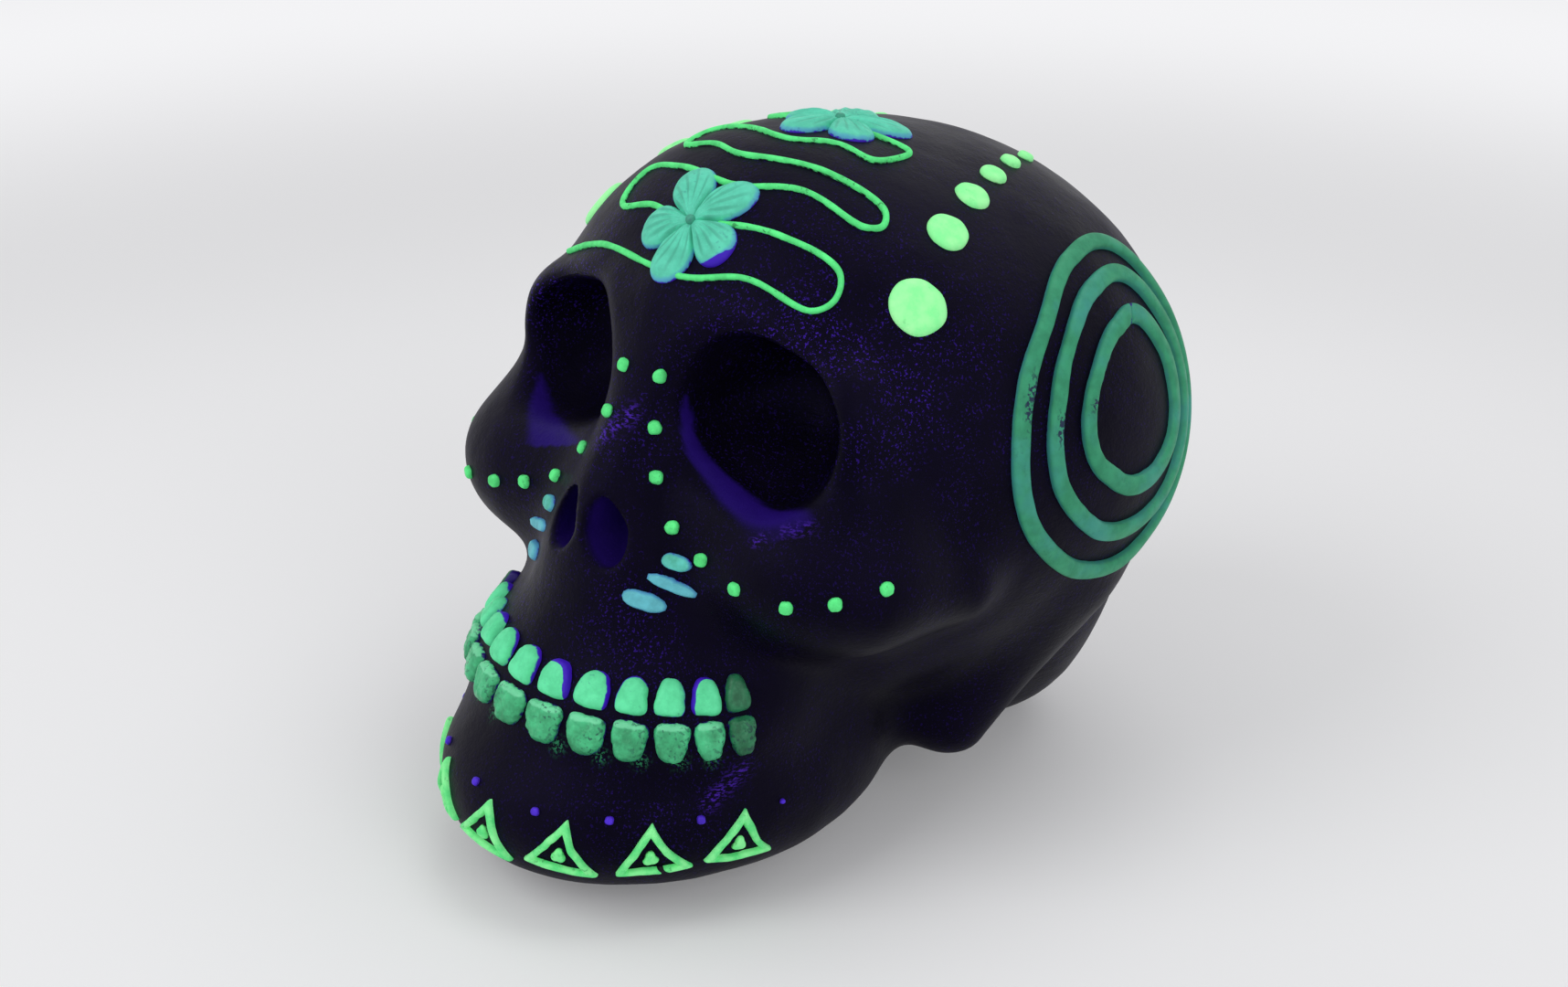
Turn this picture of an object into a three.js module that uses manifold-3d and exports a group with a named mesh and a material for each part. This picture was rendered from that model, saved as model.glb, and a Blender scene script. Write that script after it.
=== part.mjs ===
// A cast sugar skull: two hollow moulded halves joined over the crown, dressed with raised ornament.
// Millimetres, +Z up, the face looks along -Y, and the skull stands on Z = 0.
import * as THREE from 'three';
import { mergeVertices } from 'three/addons/utils/BufferGeometryUtils.js';
import Module from 'manifold-3d';

const wasm = await Module();
wasm.setup();

// Masses of the skull, as ellipsoids: centre, then half width, half length and half height.
const cranium = { x: 0, y: 11.9, z: 70.2, halfWidth: 60.8, halfLength: 52.5, halfHeight: 50.8 };
const forehead = { x: 0, y: -14, z: 70.7, halfWidth: 49.8, halfLength: 36.5, halfHeight: 52.6 };
const nape = { x: 0, y: 29.4, z: 29.3, halfWidth: 37.3, halfLength: 25, halfHeight: 32.8 };
const cheekbone = { x: 30.4, y: -36.6, z: 60.9, halfWidth: 23.6, halfLength: 19.6, halfHeight: 16.2 };
const upperJaw = { x: 0, y: -40.6, z: 52, halfWidth: 22.9, halfLength: 25.6, halfHeight: 27.4 };
const toothBulge = { x: 0, y: -49.2, z: 32.9, halfWidth: 34.7, halfLength: 27.4, halfHeight: 17.2 };
const lowerJaw = { x: 0, y: -37, z: 17.1, halfWidth: 31.5, halfLength: 42, halfHeight: 24.1 };

// The flared edge of the jaw: a round bar bent into an oval.
const jawRim = { y: -45, z: 16, halfWidth: 27.5, halfLength: 34, radius: 8.8, stretchRatio: 1.1 };

// Masses drawn out between two points: brow, its side down to the cheekbone, bridge of the nose, cheek arch
// and rising jaw branch.
const brow = { from: [0, -39.5, 98.5], to: [35.2, -34, 89], radius: 5.8 };
const browSide = { from: brow.to, to: [41.7, -34.7, 70.4], radius: 3.9 };
const noseBridge = { from: [0, -43, 89], to: [0, -56.5, 69], radius: 4.6 };
const cheekArch = { from: [46, -38, 59], to: [51, -22, 57.5], radius: 5 };
const jawBranch = { from: [34.5, -3.6, 18.6], to: [44, 13, 45], radius: 7 };
const blendRadius = 8.7;
const jawBlend = 12;
const napeBlend = 18;

// Openings of the face, cut into the skin at a place across and up the front.
const orbit = {
  x: 24.2, z: 86.2, halfWidth: 14.6, halfHeight: 12, depth: 22,
  rollAngle: 17, yawAngle: 12, cornerPower: 2.7, taperRatio: 0,
};
const nostril = {
  x: 4.8, z: 65.8, halfWidth: 3.4, halfHeight: 5.8, depth: 9,
  rollAngle: -18, yawAngle: 0, cornerPower: 2, taperRatio: 0.35,
};

// The hollow, its wall and the lap joint between the halves.
const wallThickness = 7;
const orbitWall = 8;
const lipThickness = 3;
const lipLength = 4;
const jointGap = 0.3;
const lipClearance = 0.5;

// Ornament: every raised piece is bonded to the skin across one thin bed.
const bedGap = 0.4;
const reliefHeight = 1.3;

const upperToothWidths = [8, 7.8, 6.7, 6.4, 6.2, 5.2];
const lowerToothWidths = [8.2, 7.9, 6.8, 6.4, 5.2, 4.8];
const upperToothHeight = 7.2;
const lowerToothHeight = 6.8;
const toothThickness = 2;
const toothGap = 0.4;
const biteRise = 5.1;
const biteGap = 0.6;

const ringCentre = { sideAngle: 54, riseAngle: 122.5 };
const ringOuterRadius = 35;
const ringWidth = 4.6;
const ringSpace = 4.2;
const ringNarrowRatio = 0.87;
const ringLeanAngle = 12;

const petalCount = 5;
const petalLength = 12.6;
const petalNotchRatio = 0.55;
const petalThickness = 1.8;
const flowerButtonRadius = 1.4;
const foreheadFlowerAngle = 66.1;
const crownFlowerAngle = 95.4;
const crownFlowerTurnAngle = -12;

const scrollWidth = 1.7;
// The scroll's passes above each flower's heart and its turns to either side, in petal lengths.
const foreheadPassRatios = [-0.76, -0.01, 0.69, 1.21];
const crownPassRatios = [-1.17, -0.31, 0.38];
const scrollTurnRatios = [2.5, -1.9, 2.22, -1.56, 1.38, -1.37];
const scrollLeftLiftRatio = 0.42;
const scrollRightLiftRatio = 0.16;
const scrollStartRatios = { side: -3.1, lift: 0.35 };
const scrollFlowerGap = 0.6;

const discDiameters = [10.8, 8.2, 7, 5.4, 4.2, 3.4];
const discGap = 5;
const discStart = { x: 39.3, y: -21 };
const discHeadingAngle = 68;

const triangleBase = 13.4;
const triangleRise = 10.4;
const triangleLine = 1.6;
const triangleGap = 2.6;
const trianglesEachSide = 3;
const triangleDrop = 0.6;

const aimHeart = { y: -6, z: 48 };
const castHeart = { y: -8, z: 38 };
const beyond = 200;
const core = new THREE.Vector3(0, aimHeart.y, aimHeart.z);
const castingHeart = new THREE.Vector3(0, castHeart.y, castHeart.z);
const degrees = Math.PI / 180;

// Signed distance, near enough for small steps, from a point to an ellipsoid.
function ellipsoid(x, y, z, mass) {
  const px = (x - mass.x) / mass.halfWidth;
  const py = (y - mass.y) / mass.halfLength;
  const pz = (z - mass.z) / mass.halfHeight;
  const reach = Math.hypot(px, py, pz);
  const slope = Math.hypot(px / mass.halfWidth, py / mass.halfLength, pz / mass.halfHeight);
  return (reach * (reach - 1)) / Math.max(slope, 1e-9);
}

// Distance from a point to a round bar between two points.
function bar(x, y, z, mass) {
  const [ax, ay, az] = mass.from;
  const [bx, by, bz] = mass.to;
  const [dx, dy, dz] = [bx - ax, by - ay, bz - az];
  const along = ((x - ax) * dx + (y - ay) * dy + (z - az) * dz) / (dx * dx + dy * dy + dz * dz);
  const t = Math.min(Math.max(along, 0), 1);
  return Math.hypot(x - ax - t * dx, y - ay - t * dy, z - az - t * dz) - mass.radius;
}

// Distance from a point to a bar bent into a level oval.
function ovalRim(x, y, z, rim) {
  const px = x / rim.halfWidth;
  const py = (y - rim.y) / rim.halfLength;
  const reach = Math.max(Math.hypot(px, py), 1e-6);
  const slope = Math.hypot(px / rim.halfWidth, py / rim.halfLength) / reach;
  return Math.hypot((reach - 1) / Math.max(slope, 1e-6), (z - rim.z) / rim.stretchRatio) - rim.radius;
}

// Joins two masses with a soft fillet.
function blend(a, b, radius) {
  const h = Math.max(radius - Math.abs(a - b), 0) / radius;
  return Math.min(a, b) - (h * h * radius) / 4;
}

// The brain case alone, which the hollow follows.
function braincase(x, y, z) {
  const shell = blend(ellipsoid(x, y, z, cranium), ellipsoid(x, y, z, forehead), 2 * blendRadius);
  return blend(shell, ellipsoid(x, y, z, nape), napeBlend);
}

// The whole outer skin, alike on both sides.
function skin(px, y, z) {
  const x = Math.abs(px);
  let d = braincase(x, y, z);
  d = blend(d, ellipsoid(x, y, z, upperJaw), blendRadius);
  d = blend(d, bar(x, y, z, brow), blendRadius);
  d = blend(d, bar(x, y, z, browSide), blendRadius);
  d = blend(d, bar(x, y, z, noseBridge), blendRadius);
  d = blend(d, ellipsoid(x, y, z, cheekbone), blendRadius);
  d = blend(d, bar(x, y, z, cheekArch), blendRadius);
  d = blend(d, ellipsoid(x, y, z, toothBulge), jawBlend);
  d = blend(d, ellipsoid(x, y, z, lowerJaw), jawBlend);
  d = blend(d, ovalRim(x, y, z, jawRim), blendRadius);
  return blend(d, bar(x, y, z, jawBranch), jawBlend);
}

// Walks outwards from a point inside until the surface is reached.
function walkOut(origin, direction, surface) {
  const step = direction.clone().normalize();
  const at = new THREE.Vector3();
  let reach = 12;
  for (let i = 0; i < 80; i += 1) {
    at.copy(step).multiplyScalar(reach).add(origin);
    const d = surface(at.x, at.y, at.z);
    reach -= 0.9 * d;
    if (Math.abs(d) < 1e-4) break;
  }
  return at.copy(step).multiplyScalar(reach).add(origin);
}

const skinPoint = (direction) => walkOut(core, direction, skin);

function skinNormal(p) {
  const e = 0.05;
  return new THREE.Vector3(
    skin(p.x + e, p.y, p.z) - skin(p.x - e, p.y, p.z),
    skin(p.x, p.y + e, p.z) - skin(p.x, p.y - e, p.z),
    skin(p.x, p.y, p.z + e) - skin(p.x, p.y, p.z - e),
  ).normalize();
}

// A direction from the core: side swings off the midline, rise climbs from the face over the crown.
function aim(side, rise) {
  const [s, r] = [side * degrees, rise * degrees];
  return new THREE.Vector3(Math.sin(s), -Math.cos(s) * Math.cos(r), Math.cos(s) * Math.sin(r));
}

// Turns a closed geometry into a solid for joining and cutting.
function toSolid(geometry) {
  const bare = geometry.clone();
  bare.deleteAttribute('normal');
  bare.deleteAttribute('uv');
  const merged = mergeVertices(bare, 1e-4);
  const source = merged.index.array;
  const faces = [];
  for (let i = 0; i < source.length; i += 3) {
    const [a, b, c] = [source[i], source[i + 1], source[i + 2]];
    if (a !== b && b !== c && c !== a) faces.push([a, b, c]);
  }
  const make = (order) => new wasm.Manifold(new wasm.Mesh({
    numProp: 3,
    vertProperties: Float32Array.from(merged.attributes.position.array),
    triVerts: Uint32Array.from(order.flat()),
  }));
  const solid = make(faces);
  return solid.volume() > 0 ? solid : make(faces.map(([a, b, c]) => [a, c, b]));
}

function toGeometry(solid) {
  const mesh = solid.getMesh();
  const points = new Float32Array(mesh.numVert * 3);
  for (let i = 0; i < mesh.numVert; i += 1) {
    for (let k = 0; k < 3; k += 1) points[3 * i + k] = mesh.vertProperties[i * mesh.numProp + k];
  }
  const geometry = new THREE.BufferGeometry();
  geometry.setAttribute('position', new THREE.BufferAttribute(points, 3));
  geometry.setIndex(Array.from(mesh.triVerts));
  geometry.computeVertexNormals();
  return geometry;
}

// Moves every vertex of a geometry by a rule.
function reshape(geometry, rule) {
  const position = geometry.attributes.position;
  const p = new THREE.Vector3();
  for (let i = 0; i < position.count; i += 1) {
    p.fromBufferAttribute(position, i);
    const q = rule(p);
    position.setXYZ(i, q.x, q.y, q.z);
  }
  return geometry;
}

// A ball whose rings gather towards the face, pushed out to a surface.
function castBall(segments, rings, gather, origin, surface) {
  const ball = new THREE.SphereGeometry(1, segments, rings);
  return reshape(ball, (p) => {
    const turn = Math.atan2(p.z, p.x);
    const fromFace = Math.acos(THREE.MathUtils.clamp(-p.y, -1, 1)) / Math.PI;
    const polar = Math.PI * (gather * fromFace + (1 - gather) * fromFace * fromFace);
    const direction = new THREE.Vector3(
      Math.sin(polar) * Math.cos(turn), -Math.cos(polar), Math.sin(polar) * Math.sin(turn));
    return walkOut(origin, direction, surface);
  });
}

// A large block on one side of a plane across Y or Z.
function blockBetween(axis, from, to) {
  const span = 400;
  const size = { y: [span, to - from, span], z: [span, span, to - from] }[axis];
  const block = new THREE.BoxGeometry(...size);
  const middle = (from + to) / 2;
  block.translate(0, axis === 'y' ? middle : 0, axis === 'z' ? middle : 0);
  return toSolid(block);
}

const forward = new THREE.Vector3(0, -1, 0);
const faceAt = (form) => walkOut(new THREE.Vector3(form.x, core.y, form.z), forward, skin);

// A socket cut into the face: a ball stretched and squared, and turned to its place on the skin.
function socket(form, sign) {
  const ball = new THREE.SphereGeometry(1, 20, 12);
  const turn = new THREE.Euler(0, sign * form.rollAngle * degrees, sign * form.yawAngle * degrees);
  const middle = faceAt(form);
  middle.x *= sign;
  reshape(ball, (p) => {
    const angle = Math.atan2(p.z, p.x);
    const [c, s] = [Math.abs(Math.cos(angle)), Math.abs(Math.sin(angle))];
    const corner = (c ** form.cornerPower + s ** form.cornerPower) ** (-1 / form.cornerPower);
    const narrow = 1 - form.taperRatio * Math.max(p.z, 0);
    return new THREE.Vector3(
      p.x * corner * narrow * form.halfWidth, p.y * form.depth, p.z * corner * form.halfHeight,
    ).applyEuler(turn).add(middle);
  });
  return toSolid(ball);
}

let casting = toSolid(castBall(54, 34, 0.62, castingHeart, skin)).subtract(blockBetween('z', -beyond, 0));
for (const sign of [1, -1]) {
  casting = casting.subtract(socket(orbit, sign));
  casting = casting.subtract(socket(nostril, sign));
}

// The hollow inside the brain case, a chosen depth below the skin and clear of the orbits.
const hollowFront = faceAt(orbit).y + orbit.depth + orbitWall;
const hollowHeart = new THREE.Vector3(0, cranium.y, cranium.z);
function hollow(depth) {
  const surface = (x, y, z) => Math.max(braincase(x, y, z) + depth, depth - z, hollowFront - y);
  return toSolid(castBall(24, 14, 1, hollowHeart, surface));
}

// The halves part across the cranium's widest line, where the front's lip enters a rebate in the back.
const seamY = cranium.y;
const overlap = 2;
const cavity = hollow(wallThickness);
const lip = hollow(wallThickness - lipThickness)
  .intersect(blockBetween('y', seamY - overlap, seamY + lipLength));
const rebate = hollow(wallThickness - lipThickness - lipClearance)
  .intersect(blockBetween('y', seamY - overlap, seamY + lipLength + jointGap));
const faceShell = casting.subtract(blockBetween('y', seamY, seamY + beyond)).add(lip).subtract(cavity);
const backShell = casting.intersect(blockBetween('y', seamY + jointGap, seamY + beyond))
  .subtract(rebate).subtract(cavity);

// A place on the skin, with its outward normal, one direction across it and one along it.
function placeAt(direction, upward) {
  const point = skinPoint(direction);
  const normal = skinNormal(point);
  const across = new THREE.Vector3().crossVectors(upward, normal).normalize();
  const along = new THREE.Vector3().crossVectors(normal, across);
  return { point, normal, across, along };
}

// Lays a flat relief (x across, y along, z off the skin) onto the skin at a place.
function layOn(place, flat) {
  return reshape(flat, (p) => {
    const target = place.point.clone().addScaledVector(place.across, p.x).addScaledVector(place.along, p.y);
    const foot = skinPoint(target.sub(core));
    return foot.addScaledVector(skinNormal(foot), bedGap + p.z);
  });
}

// A turned relief whose round outline is drawn out to any other: rows of [share of outline, height].
function turnedRelief(profile, segments, outline) {
  const lathe = new THREE.LatheGeometry(profile.map(([r, h]) => new THREE.Vector2(r, h)), segments);
  return reshape(lathe, (p) => {
    const angle = Math.atan2(p.z, p.x);
    const reach = Math.hypot(p.x, p.z) * outline(angle);
    return new THREE.Vector3(reach * Math.cos(angle), reach * Math.sin(angle), p.y);
  });
}

const padProfile = (h) => [[0, h], [0.68, 0.9 * h], [0.95, 0.4 * h], [1, 0], [0, 0]];
const bandProfile = (inner, h) => {
  const shoulder = 0.12 * (1 - inner);
  const middle = (inner + 1) / 2;
  return [
    [inner, 0], [inner + shoulder, 0.75 * h], [middle, h], [1 - shoulder, 0.75 * h], [1, 0], [inner, 0],
  ];
};

const looks = {
  body: { color: 0x0b0718, roughness: 0.45, metalness: 0 },
  tooth: { color: 0x5ee69b, roughness: 0.55, metalness: 0 },
  ring: { color: 0x3fae84, roughness: 0.6, metalness: 0 },
  flower: { color: 0x46cda5, roughness: 0.55, metalness: 0 },
  line: { color: 0x4bf082, roughness: 0.5, metalness: 0 },
  disc: { color: 0x96ffa0, roughness: 0.5, metalness: 0 },
};
const skull = new THREE.Group();
skull.name = 'sugar_skull';
function addPiece(name, solid, look) {
  const mesh = new THREE.Mesh(toGeometry(solid), new THREE.MeshStandardMaterial(looks[look]));
  mesh.name = name;
  skull.add(mesh);
}

addPiece('face_shell', faceShell, 'body');
addPiece('back_shell', backShell, 'body');

const upward = new THREE.Vector3(0, 0, 1);
const backward = new THREE.Vector3(0, 1, 0.2);
const sides = [['left', 1], ['right', -1]];

// A level line round the jaw: walks the skin outwards from the midline by measured lengths.
function jawLine(height, lengths) {
  const heart = new THREE.Vector3(0, toothBulge.y, height);
  const at = (turn) => walkOut(heart, new THREE.Vector3(Math.sin(turn), -Math.cos(turn), 0), skin);
  const stops = [];
  let walked = 0;
  let last = at(0);
  for (let turn = 0; stops.length < lengths.length && turn < 3; turn += 0.004) {
    const next = at(turn);
    walked += next.distanceTo(last);
    last = next;
    if (walked >= lengths[stops.length]) stops.push(next);
  }
  return stops;
}

// Rows of teeth: pillows with squared corners, standing off the bite line and wider towards it.
function toothRow(row, widths, height, sense) {
  let edge = toothGap / 2;
  const middles = widths.map((width) => {
    const middle = edge + width / 2;
    edge += width + toothGap;
    return middle;
  });
  const cornerPower = 3.4;
  jawLine(toothBulge.z + biteRise, middles).forEach((stop, i) => {
    const outline = (angle) => {
      const c = Math.abs(Math.cos(angle)) / (widths[i] / 2);
      const s = Math.abs(Math.sin(angle)) / (height / 2);
      return (c ** cornerPower + s ** cornerPower) ** (-1 / cornerPower);
    };
    for (const [side, sign] of sides) {
      const place = placeAt(new THREE.Vector3(sign * stop.x, stop.y, stop.z).sub(core), upward);
      const flat = reshape(turnedRelief(padProfile(toothThickness), 12, outline), (p) => {
        const narrow = 0.94 - (0.12 * sense * p.y) / height;
        return new THREE.Vector3(p.x * narrow, p.y + (sense * (height + biteGap)) / 2, p.z);
      });
      addPiece(`${row}_tooth_${side}_${i + 1}`, toSolid(layOn(place, flat)), 'tooth');
    }
  });
}
toothRow('upper', upperToothWidths, upperToothHeight, 1);
toothRow('lower', lowerToothWidths, lowerToothHeight, -1);

// Concentric bands on the sides of the cranium.
for (const [side, sign] of sides) {
  const place = placeAt(aim(sign * ringCentre.sideAngle, ringCentre.riseAngle), upward);
  ['outer', 'middle', 'inner'].forEach((ring, i) => {
    const radius = ringOuterRadius - i * (ringWidth + ringSpace);
    const lean = sign * ringLeanAngle * degrees;
    const outline = (angle) => (
      radius * Math.hypot(ringNarrowRatio * Math.cos(angle + lean), Math.sin(angle + lean)));
    const flat = turnedRelief(bandProfile(1 - ringWidth / radius, reliefHeight), 36 - 6 * i, outline);
    addPiece(`${ring}_ring_${side}`, toSolid(layOn(place, flat)), 'ring');
  });
}

// Flowers: a turned dome whose rim is waved into petals, with a button at its heart.
function flowerOutline(turn, grow) {
  return (angle) => {
    const wave = Math.abs(Math.cos((petalCount * (angle - turn)) / 2));
    return petalLength * (petalNotchRatio + (1 - petalNotchRatio) * wave ** 0.8) + grow;
  };
}
const flowerProfile = (h) => {
  const button = flowerButtonRadius / petalLength;
  return [[0, 1.4 * h], [button, 1.25 * h], [1.4 * button, 0.8 * h], [0.55, h], [0.85, 0.8 * h], [1, 0],
    [0.5, 0], [0, 0]];
};
const flowerRoomProfile = [[0, 4], [0.5, 4], [1, 4], [1, -2], [0.5, -2], [0, -2]];
const flowers = [
  { name: 'forehead_flower', rise: foreheadFlowerAngle, turn: -90 },
  { name: 'crown_flower', rise: crownFlowerAngle, turn: -90 + crownFlowerTurnAngle },
];
const flowerRooms = flowers.map(({ name, rise, turn }) => {
  const place = placeAt(aim(0, rise), backward);
  const flat = turnedRelief(flowerProfile(petalThickness), 40, flowerOutline(turn * degrees, 0));
  addPiece(name, toSolid(layOn(place, flat)), 'flower');
  const room = turnedRelief(flowerRoomProfile, 40, flowerOutline(turn * degrees, scrollFlowerGap));
  return toSolid(layOn(place, room));
});

// The scroll: one line that winds from side to side up the forehead, cut where the flowers sit on it.
const passesRound = (flowerRise, ratios) => {
  const petal = petalLength / skinPoint(aim(0, flowerRise)).distanceTo(core) / degrees;
  return ratios.map((ratio) => ({ rise: flowerRise + ratio * petal, petal }));
};
const scrollPasses = [
  ...passesRound(foreheadFlowerAngle, foreheadPassRatios),
  ...passesRound(crownFlowerAngle, crownPassRatios),
];
const startSide = scrollStartRatios.side * scrollPasses[0].petal;
const startRise = scrollPasses[0].rise + scrollStartRatios.lift * scrollPasses[0].petal;
const scrollRoute = [[startSide, startRise], [0.6 * startSide, startRise - 0.06 * scrollPasses[0].petal]];
scrollTurnRatios.forEach((ratio, i) => {
  const { petal, rise: low } = scrollPasses[i];
  const { rise: high } = scrollPasses[i + 1];
  const reach = ratio * petal;
  const lift = petal * (ratio > 0 ? scrollLeftLiftRatio : scrollRightLiftRatio);
  scrollRoute.push([0.1 * reach, low]);
  scrollRoute.push([0.5 * reach, low + 0.9 * lift]);
  scrollRoute.push([0.93 * reach, low + 1.15 * lift]);
  scrollRoute.push([reach, (low + high) / 2 + 1.05 * lift]);
  scrollRoute.push([0.92 * reach, high + lift]);
  scrollRoute.push([0.5 * reach, high + 0.8 * lift]);
});
const scrollCurve = new THREE.CatmullRomCurve3(
  scrollRoute.map(([side, rise]) => new THREE.Vector3(side, rise, 0)), false, 'centripetal');
const scrollSection = [[-0.5, 0], [0.5, 0], [0.42, 0.7], [0, 1], [-0.42, 0.7]];
const scrollSteps = 124;
const scrollPoints = scrollCurve.getSpacedPoints(scrollSteps).map(({ x, y }) => skinPoint(aim(x, y)));
const scrollVertices = [];
scrollPoints.forEach((p, i) => {
  const before = scrollPoints[Math.max(i - 1, 0)];
  const after = scrollPoints[Math.min(i + 1, scrollSteps)];
  const sideways = new THREE.Vector3().subVectors(after, before).cross(skinNormal(p)).normalize();
  for (const [across, up] of scrollSection) {
    const foot = skinPoint(p.clone().addScaledVector(sideways, across * scrollWidth).sub(core));
    foot.addScaledVector(skinNormal(foot), bedGap + up * reliefHeight);
    scrollVertices.push(foot.x, foot.y, foot.z);
  }
});
const corners = scrollSection.length;
const scrollFaces = [];
for (let i = 0; i < scrollSteps; i += 1) {
  for (let k = 0; k < corners; k += 1) {
    const [a, b] = [i * corners + k, i * corners + ((k + 1) % corners)];
    scrollFaces.push(a, b, a + corners, b, b + corners, a + corners);
  }
}
for (let k = 1; k < corners - 1; k += 1) {
  const last = scrollSteps * corners;
  scrollFaces.push(0, k + 1, k, last, last + k, last + k + 1);
}
const scrollGeometry = new THREE.BufferGeometry();
scrollGeometry.setAttribute('position', new THREE.Float32BufferAttribute(scrollVertices, 3));
scrollGeometry.setIndex(scrollFaces);
const scrollLine = flowerRooms.reduce((line, room) => line.subtract(room), toSolid(scrollGeometry));
const scrollLengths = scrollLine.decompose();
const forwardEdge = (solid) => solid.boundingBox().min[1];
scrollLengths.sort((a, b) => forwardEdge(a) - forwardEdge(b));
scrollLengths.forEach((solid, i) => addPiece(`scroll_line_${i + 1}`, solid, 'line'));

// Discs that shrink towards the back, one row above each temple.
for (const [side, sign] of sides) {
  let walked = 0;
  discDiameters.forEach((diameter, i) => {
    if (i > 0) walked += (discDiameters[i - 1] + diameter) / 2 + discGap;
    const x = discStart.x - walked * Math.cos(discHeadingAngle * degrees);
    const y = discStart.y + walked * Math.sin(discHeadingAngle * degrees);
    const above = walkOut(new THREE.Vector3(sign * x, y, core.z), upward, skin);
    const flat = turnedRelief(padProfile(reliefHeight), i < 3 ? 14 : 10, () => diameter / 2);
    const place = placeAt(above.sub(core), backward);
    addPiece(`temple_disc_${side}_${i + 1}`, toSolid(layOn(place, flat)), 'disc');
  });
}

// Triangle frames along the edge of the jaw, the first on the chin.
const triangleSlant = Math.hypot(triangleBase / 2, triangleRise);
const triangleInside = (triangleBase * triangleRise) / (triangleBase + 2 * triangleSlant);
function triangleOutline(angle) {
  const slant = Math.atan2(triangleBase / 2, triangleRise);
  const faces = [-Math.PI / 2, slant, Math.PI - slant];
  return triangleInside / Math.max(...faces.map((face) => Math.cos(angle - face)));
}
function addTriangle(name, stop, sign) {
  const direction = new THREE.Vector3(sign * stop.x, stop.y, stop.z).sub(core);
  const profile = bandProfile(1 - triangleLine / triangleInside, reliefHeight);
  const flat = turnedRelief(profile, 21, triangleOutline);
  addPiece(name, toSolid(layOn(placeAt(direction, upward), flat)), 'line');
}
const trianglePitch = triangleBase + triangleGap;
const triangleSteps = Array.from({ length: trianglesEachSide + 1 }, (_, i) => i * trianglePitch);
jawLine(jawRim.z - triangleDrop, triangleSteps).forEach((stop, i) => {
  if (i === 0) addTriangle('jaw_triangle_centre', stop, 1);
  else for (const [side, sign] of sides) addTriangle(`jaw_triangle_${side}_${i}`, stop, sign);
});

// The origin lies under the middle of the skull's box.
const box = new THREE.Box3().setFromObject(skull);
skull.position.set(0, -(box.min.y + box.max.y) / 2, 0);
skull.updateMatrixWorld(true);

export default skull;
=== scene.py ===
import math

import bpy
import numpy as np
from bpy.props import FloatProperty, FloatVectorProperty, PointerProperty
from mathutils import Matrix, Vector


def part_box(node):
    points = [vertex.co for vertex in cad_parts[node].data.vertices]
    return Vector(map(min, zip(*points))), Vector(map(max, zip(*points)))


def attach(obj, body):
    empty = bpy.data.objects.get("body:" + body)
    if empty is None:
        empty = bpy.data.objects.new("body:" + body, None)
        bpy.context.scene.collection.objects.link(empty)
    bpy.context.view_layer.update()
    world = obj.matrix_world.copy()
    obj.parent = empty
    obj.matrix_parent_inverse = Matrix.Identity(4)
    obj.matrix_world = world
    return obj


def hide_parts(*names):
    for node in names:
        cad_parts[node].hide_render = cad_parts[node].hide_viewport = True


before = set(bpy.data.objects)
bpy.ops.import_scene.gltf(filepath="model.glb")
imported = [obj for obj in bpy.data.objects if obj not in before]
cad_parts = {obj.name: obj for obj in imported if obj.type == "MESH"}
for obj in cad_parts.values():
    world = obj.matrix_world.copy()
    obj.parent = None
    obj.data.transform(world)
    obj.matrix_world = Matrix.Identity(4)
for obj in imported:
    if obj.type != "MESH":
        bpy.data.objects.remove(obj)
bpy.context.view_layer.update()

bl_info = {
    "name": "Sugar Skull",
    "version": (1, 0, 0),
    "blender": (4, 5, 0),
    "location": "View3D > Sidebar > Sugar Skull",
    "description": "Dresses a moulded sugar skull with its skin, teeth and painted relief",
    "category": "Object",
}

# The skull faces -y and its left side is at +x. Lengths are in metres.
SIDES = (("left", 1), ("right", -1))
UP = np.array((0.0, 0.0, 1.0))
MM = 0.001

# What counts as upwards for ornament on the forehead, the crown and the temples.
BACK = np.array((0.0, 1.0, 0.2))

# How far the edge of relief lies under the skin, and how far its underside sinks below that.
LAP = 0.0006
KEEL = 0.0006

# The least height of relief above the floor.
FLOOR_GAP = 0.0002

# Where the search for the skin starts, and how far out an aiming point lies.
FIRST_REACH = 0.012
AIM_REACH = 0.05

# How square the eye sockets and nostrils are, and how much the nostrils narrow upwards.
ORBIT_CORNER = 2.7
NOSTRIL_CORNER = 2
NOSTRIL_TAPER = 0.35

# Height of the jaw's flared edge over its thickness.
RIM_STRETCH = 1.1

WHITE = (1, 1, 1)
BLACK = (0, 0, 0)


def paint(red, green, blue):
    """A colour given by its screen values, 0 to 255, as Blender stores it."""
    shares = [value / 255 for value in (red, green, blue)]
    return tuple(s / 12.92 if s <= 0.04045 else ((s + 0.055) / 1.055) ** 2.4 for s in shares)


def length(name, description, default):
    return FloatProperty(name=name, description=description, default=default, unit='LENGTH', precision=4)


def lengths(name, description, default):
    return FloatVectorProperty(
        name=name, description=description, default=default, size=len(default), unit='LENGTH', precision=4)


def angle(name, description, default):
    return FloatProperty(
        name=name, description=description, default=math.radians(default), subtype='ANGLE')


def colour(name, description, default):
    return FloatVectorProperty(
        name=name, description=description, default=default, size=3, min=0, max=1, subtype='COLOR')


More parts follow.
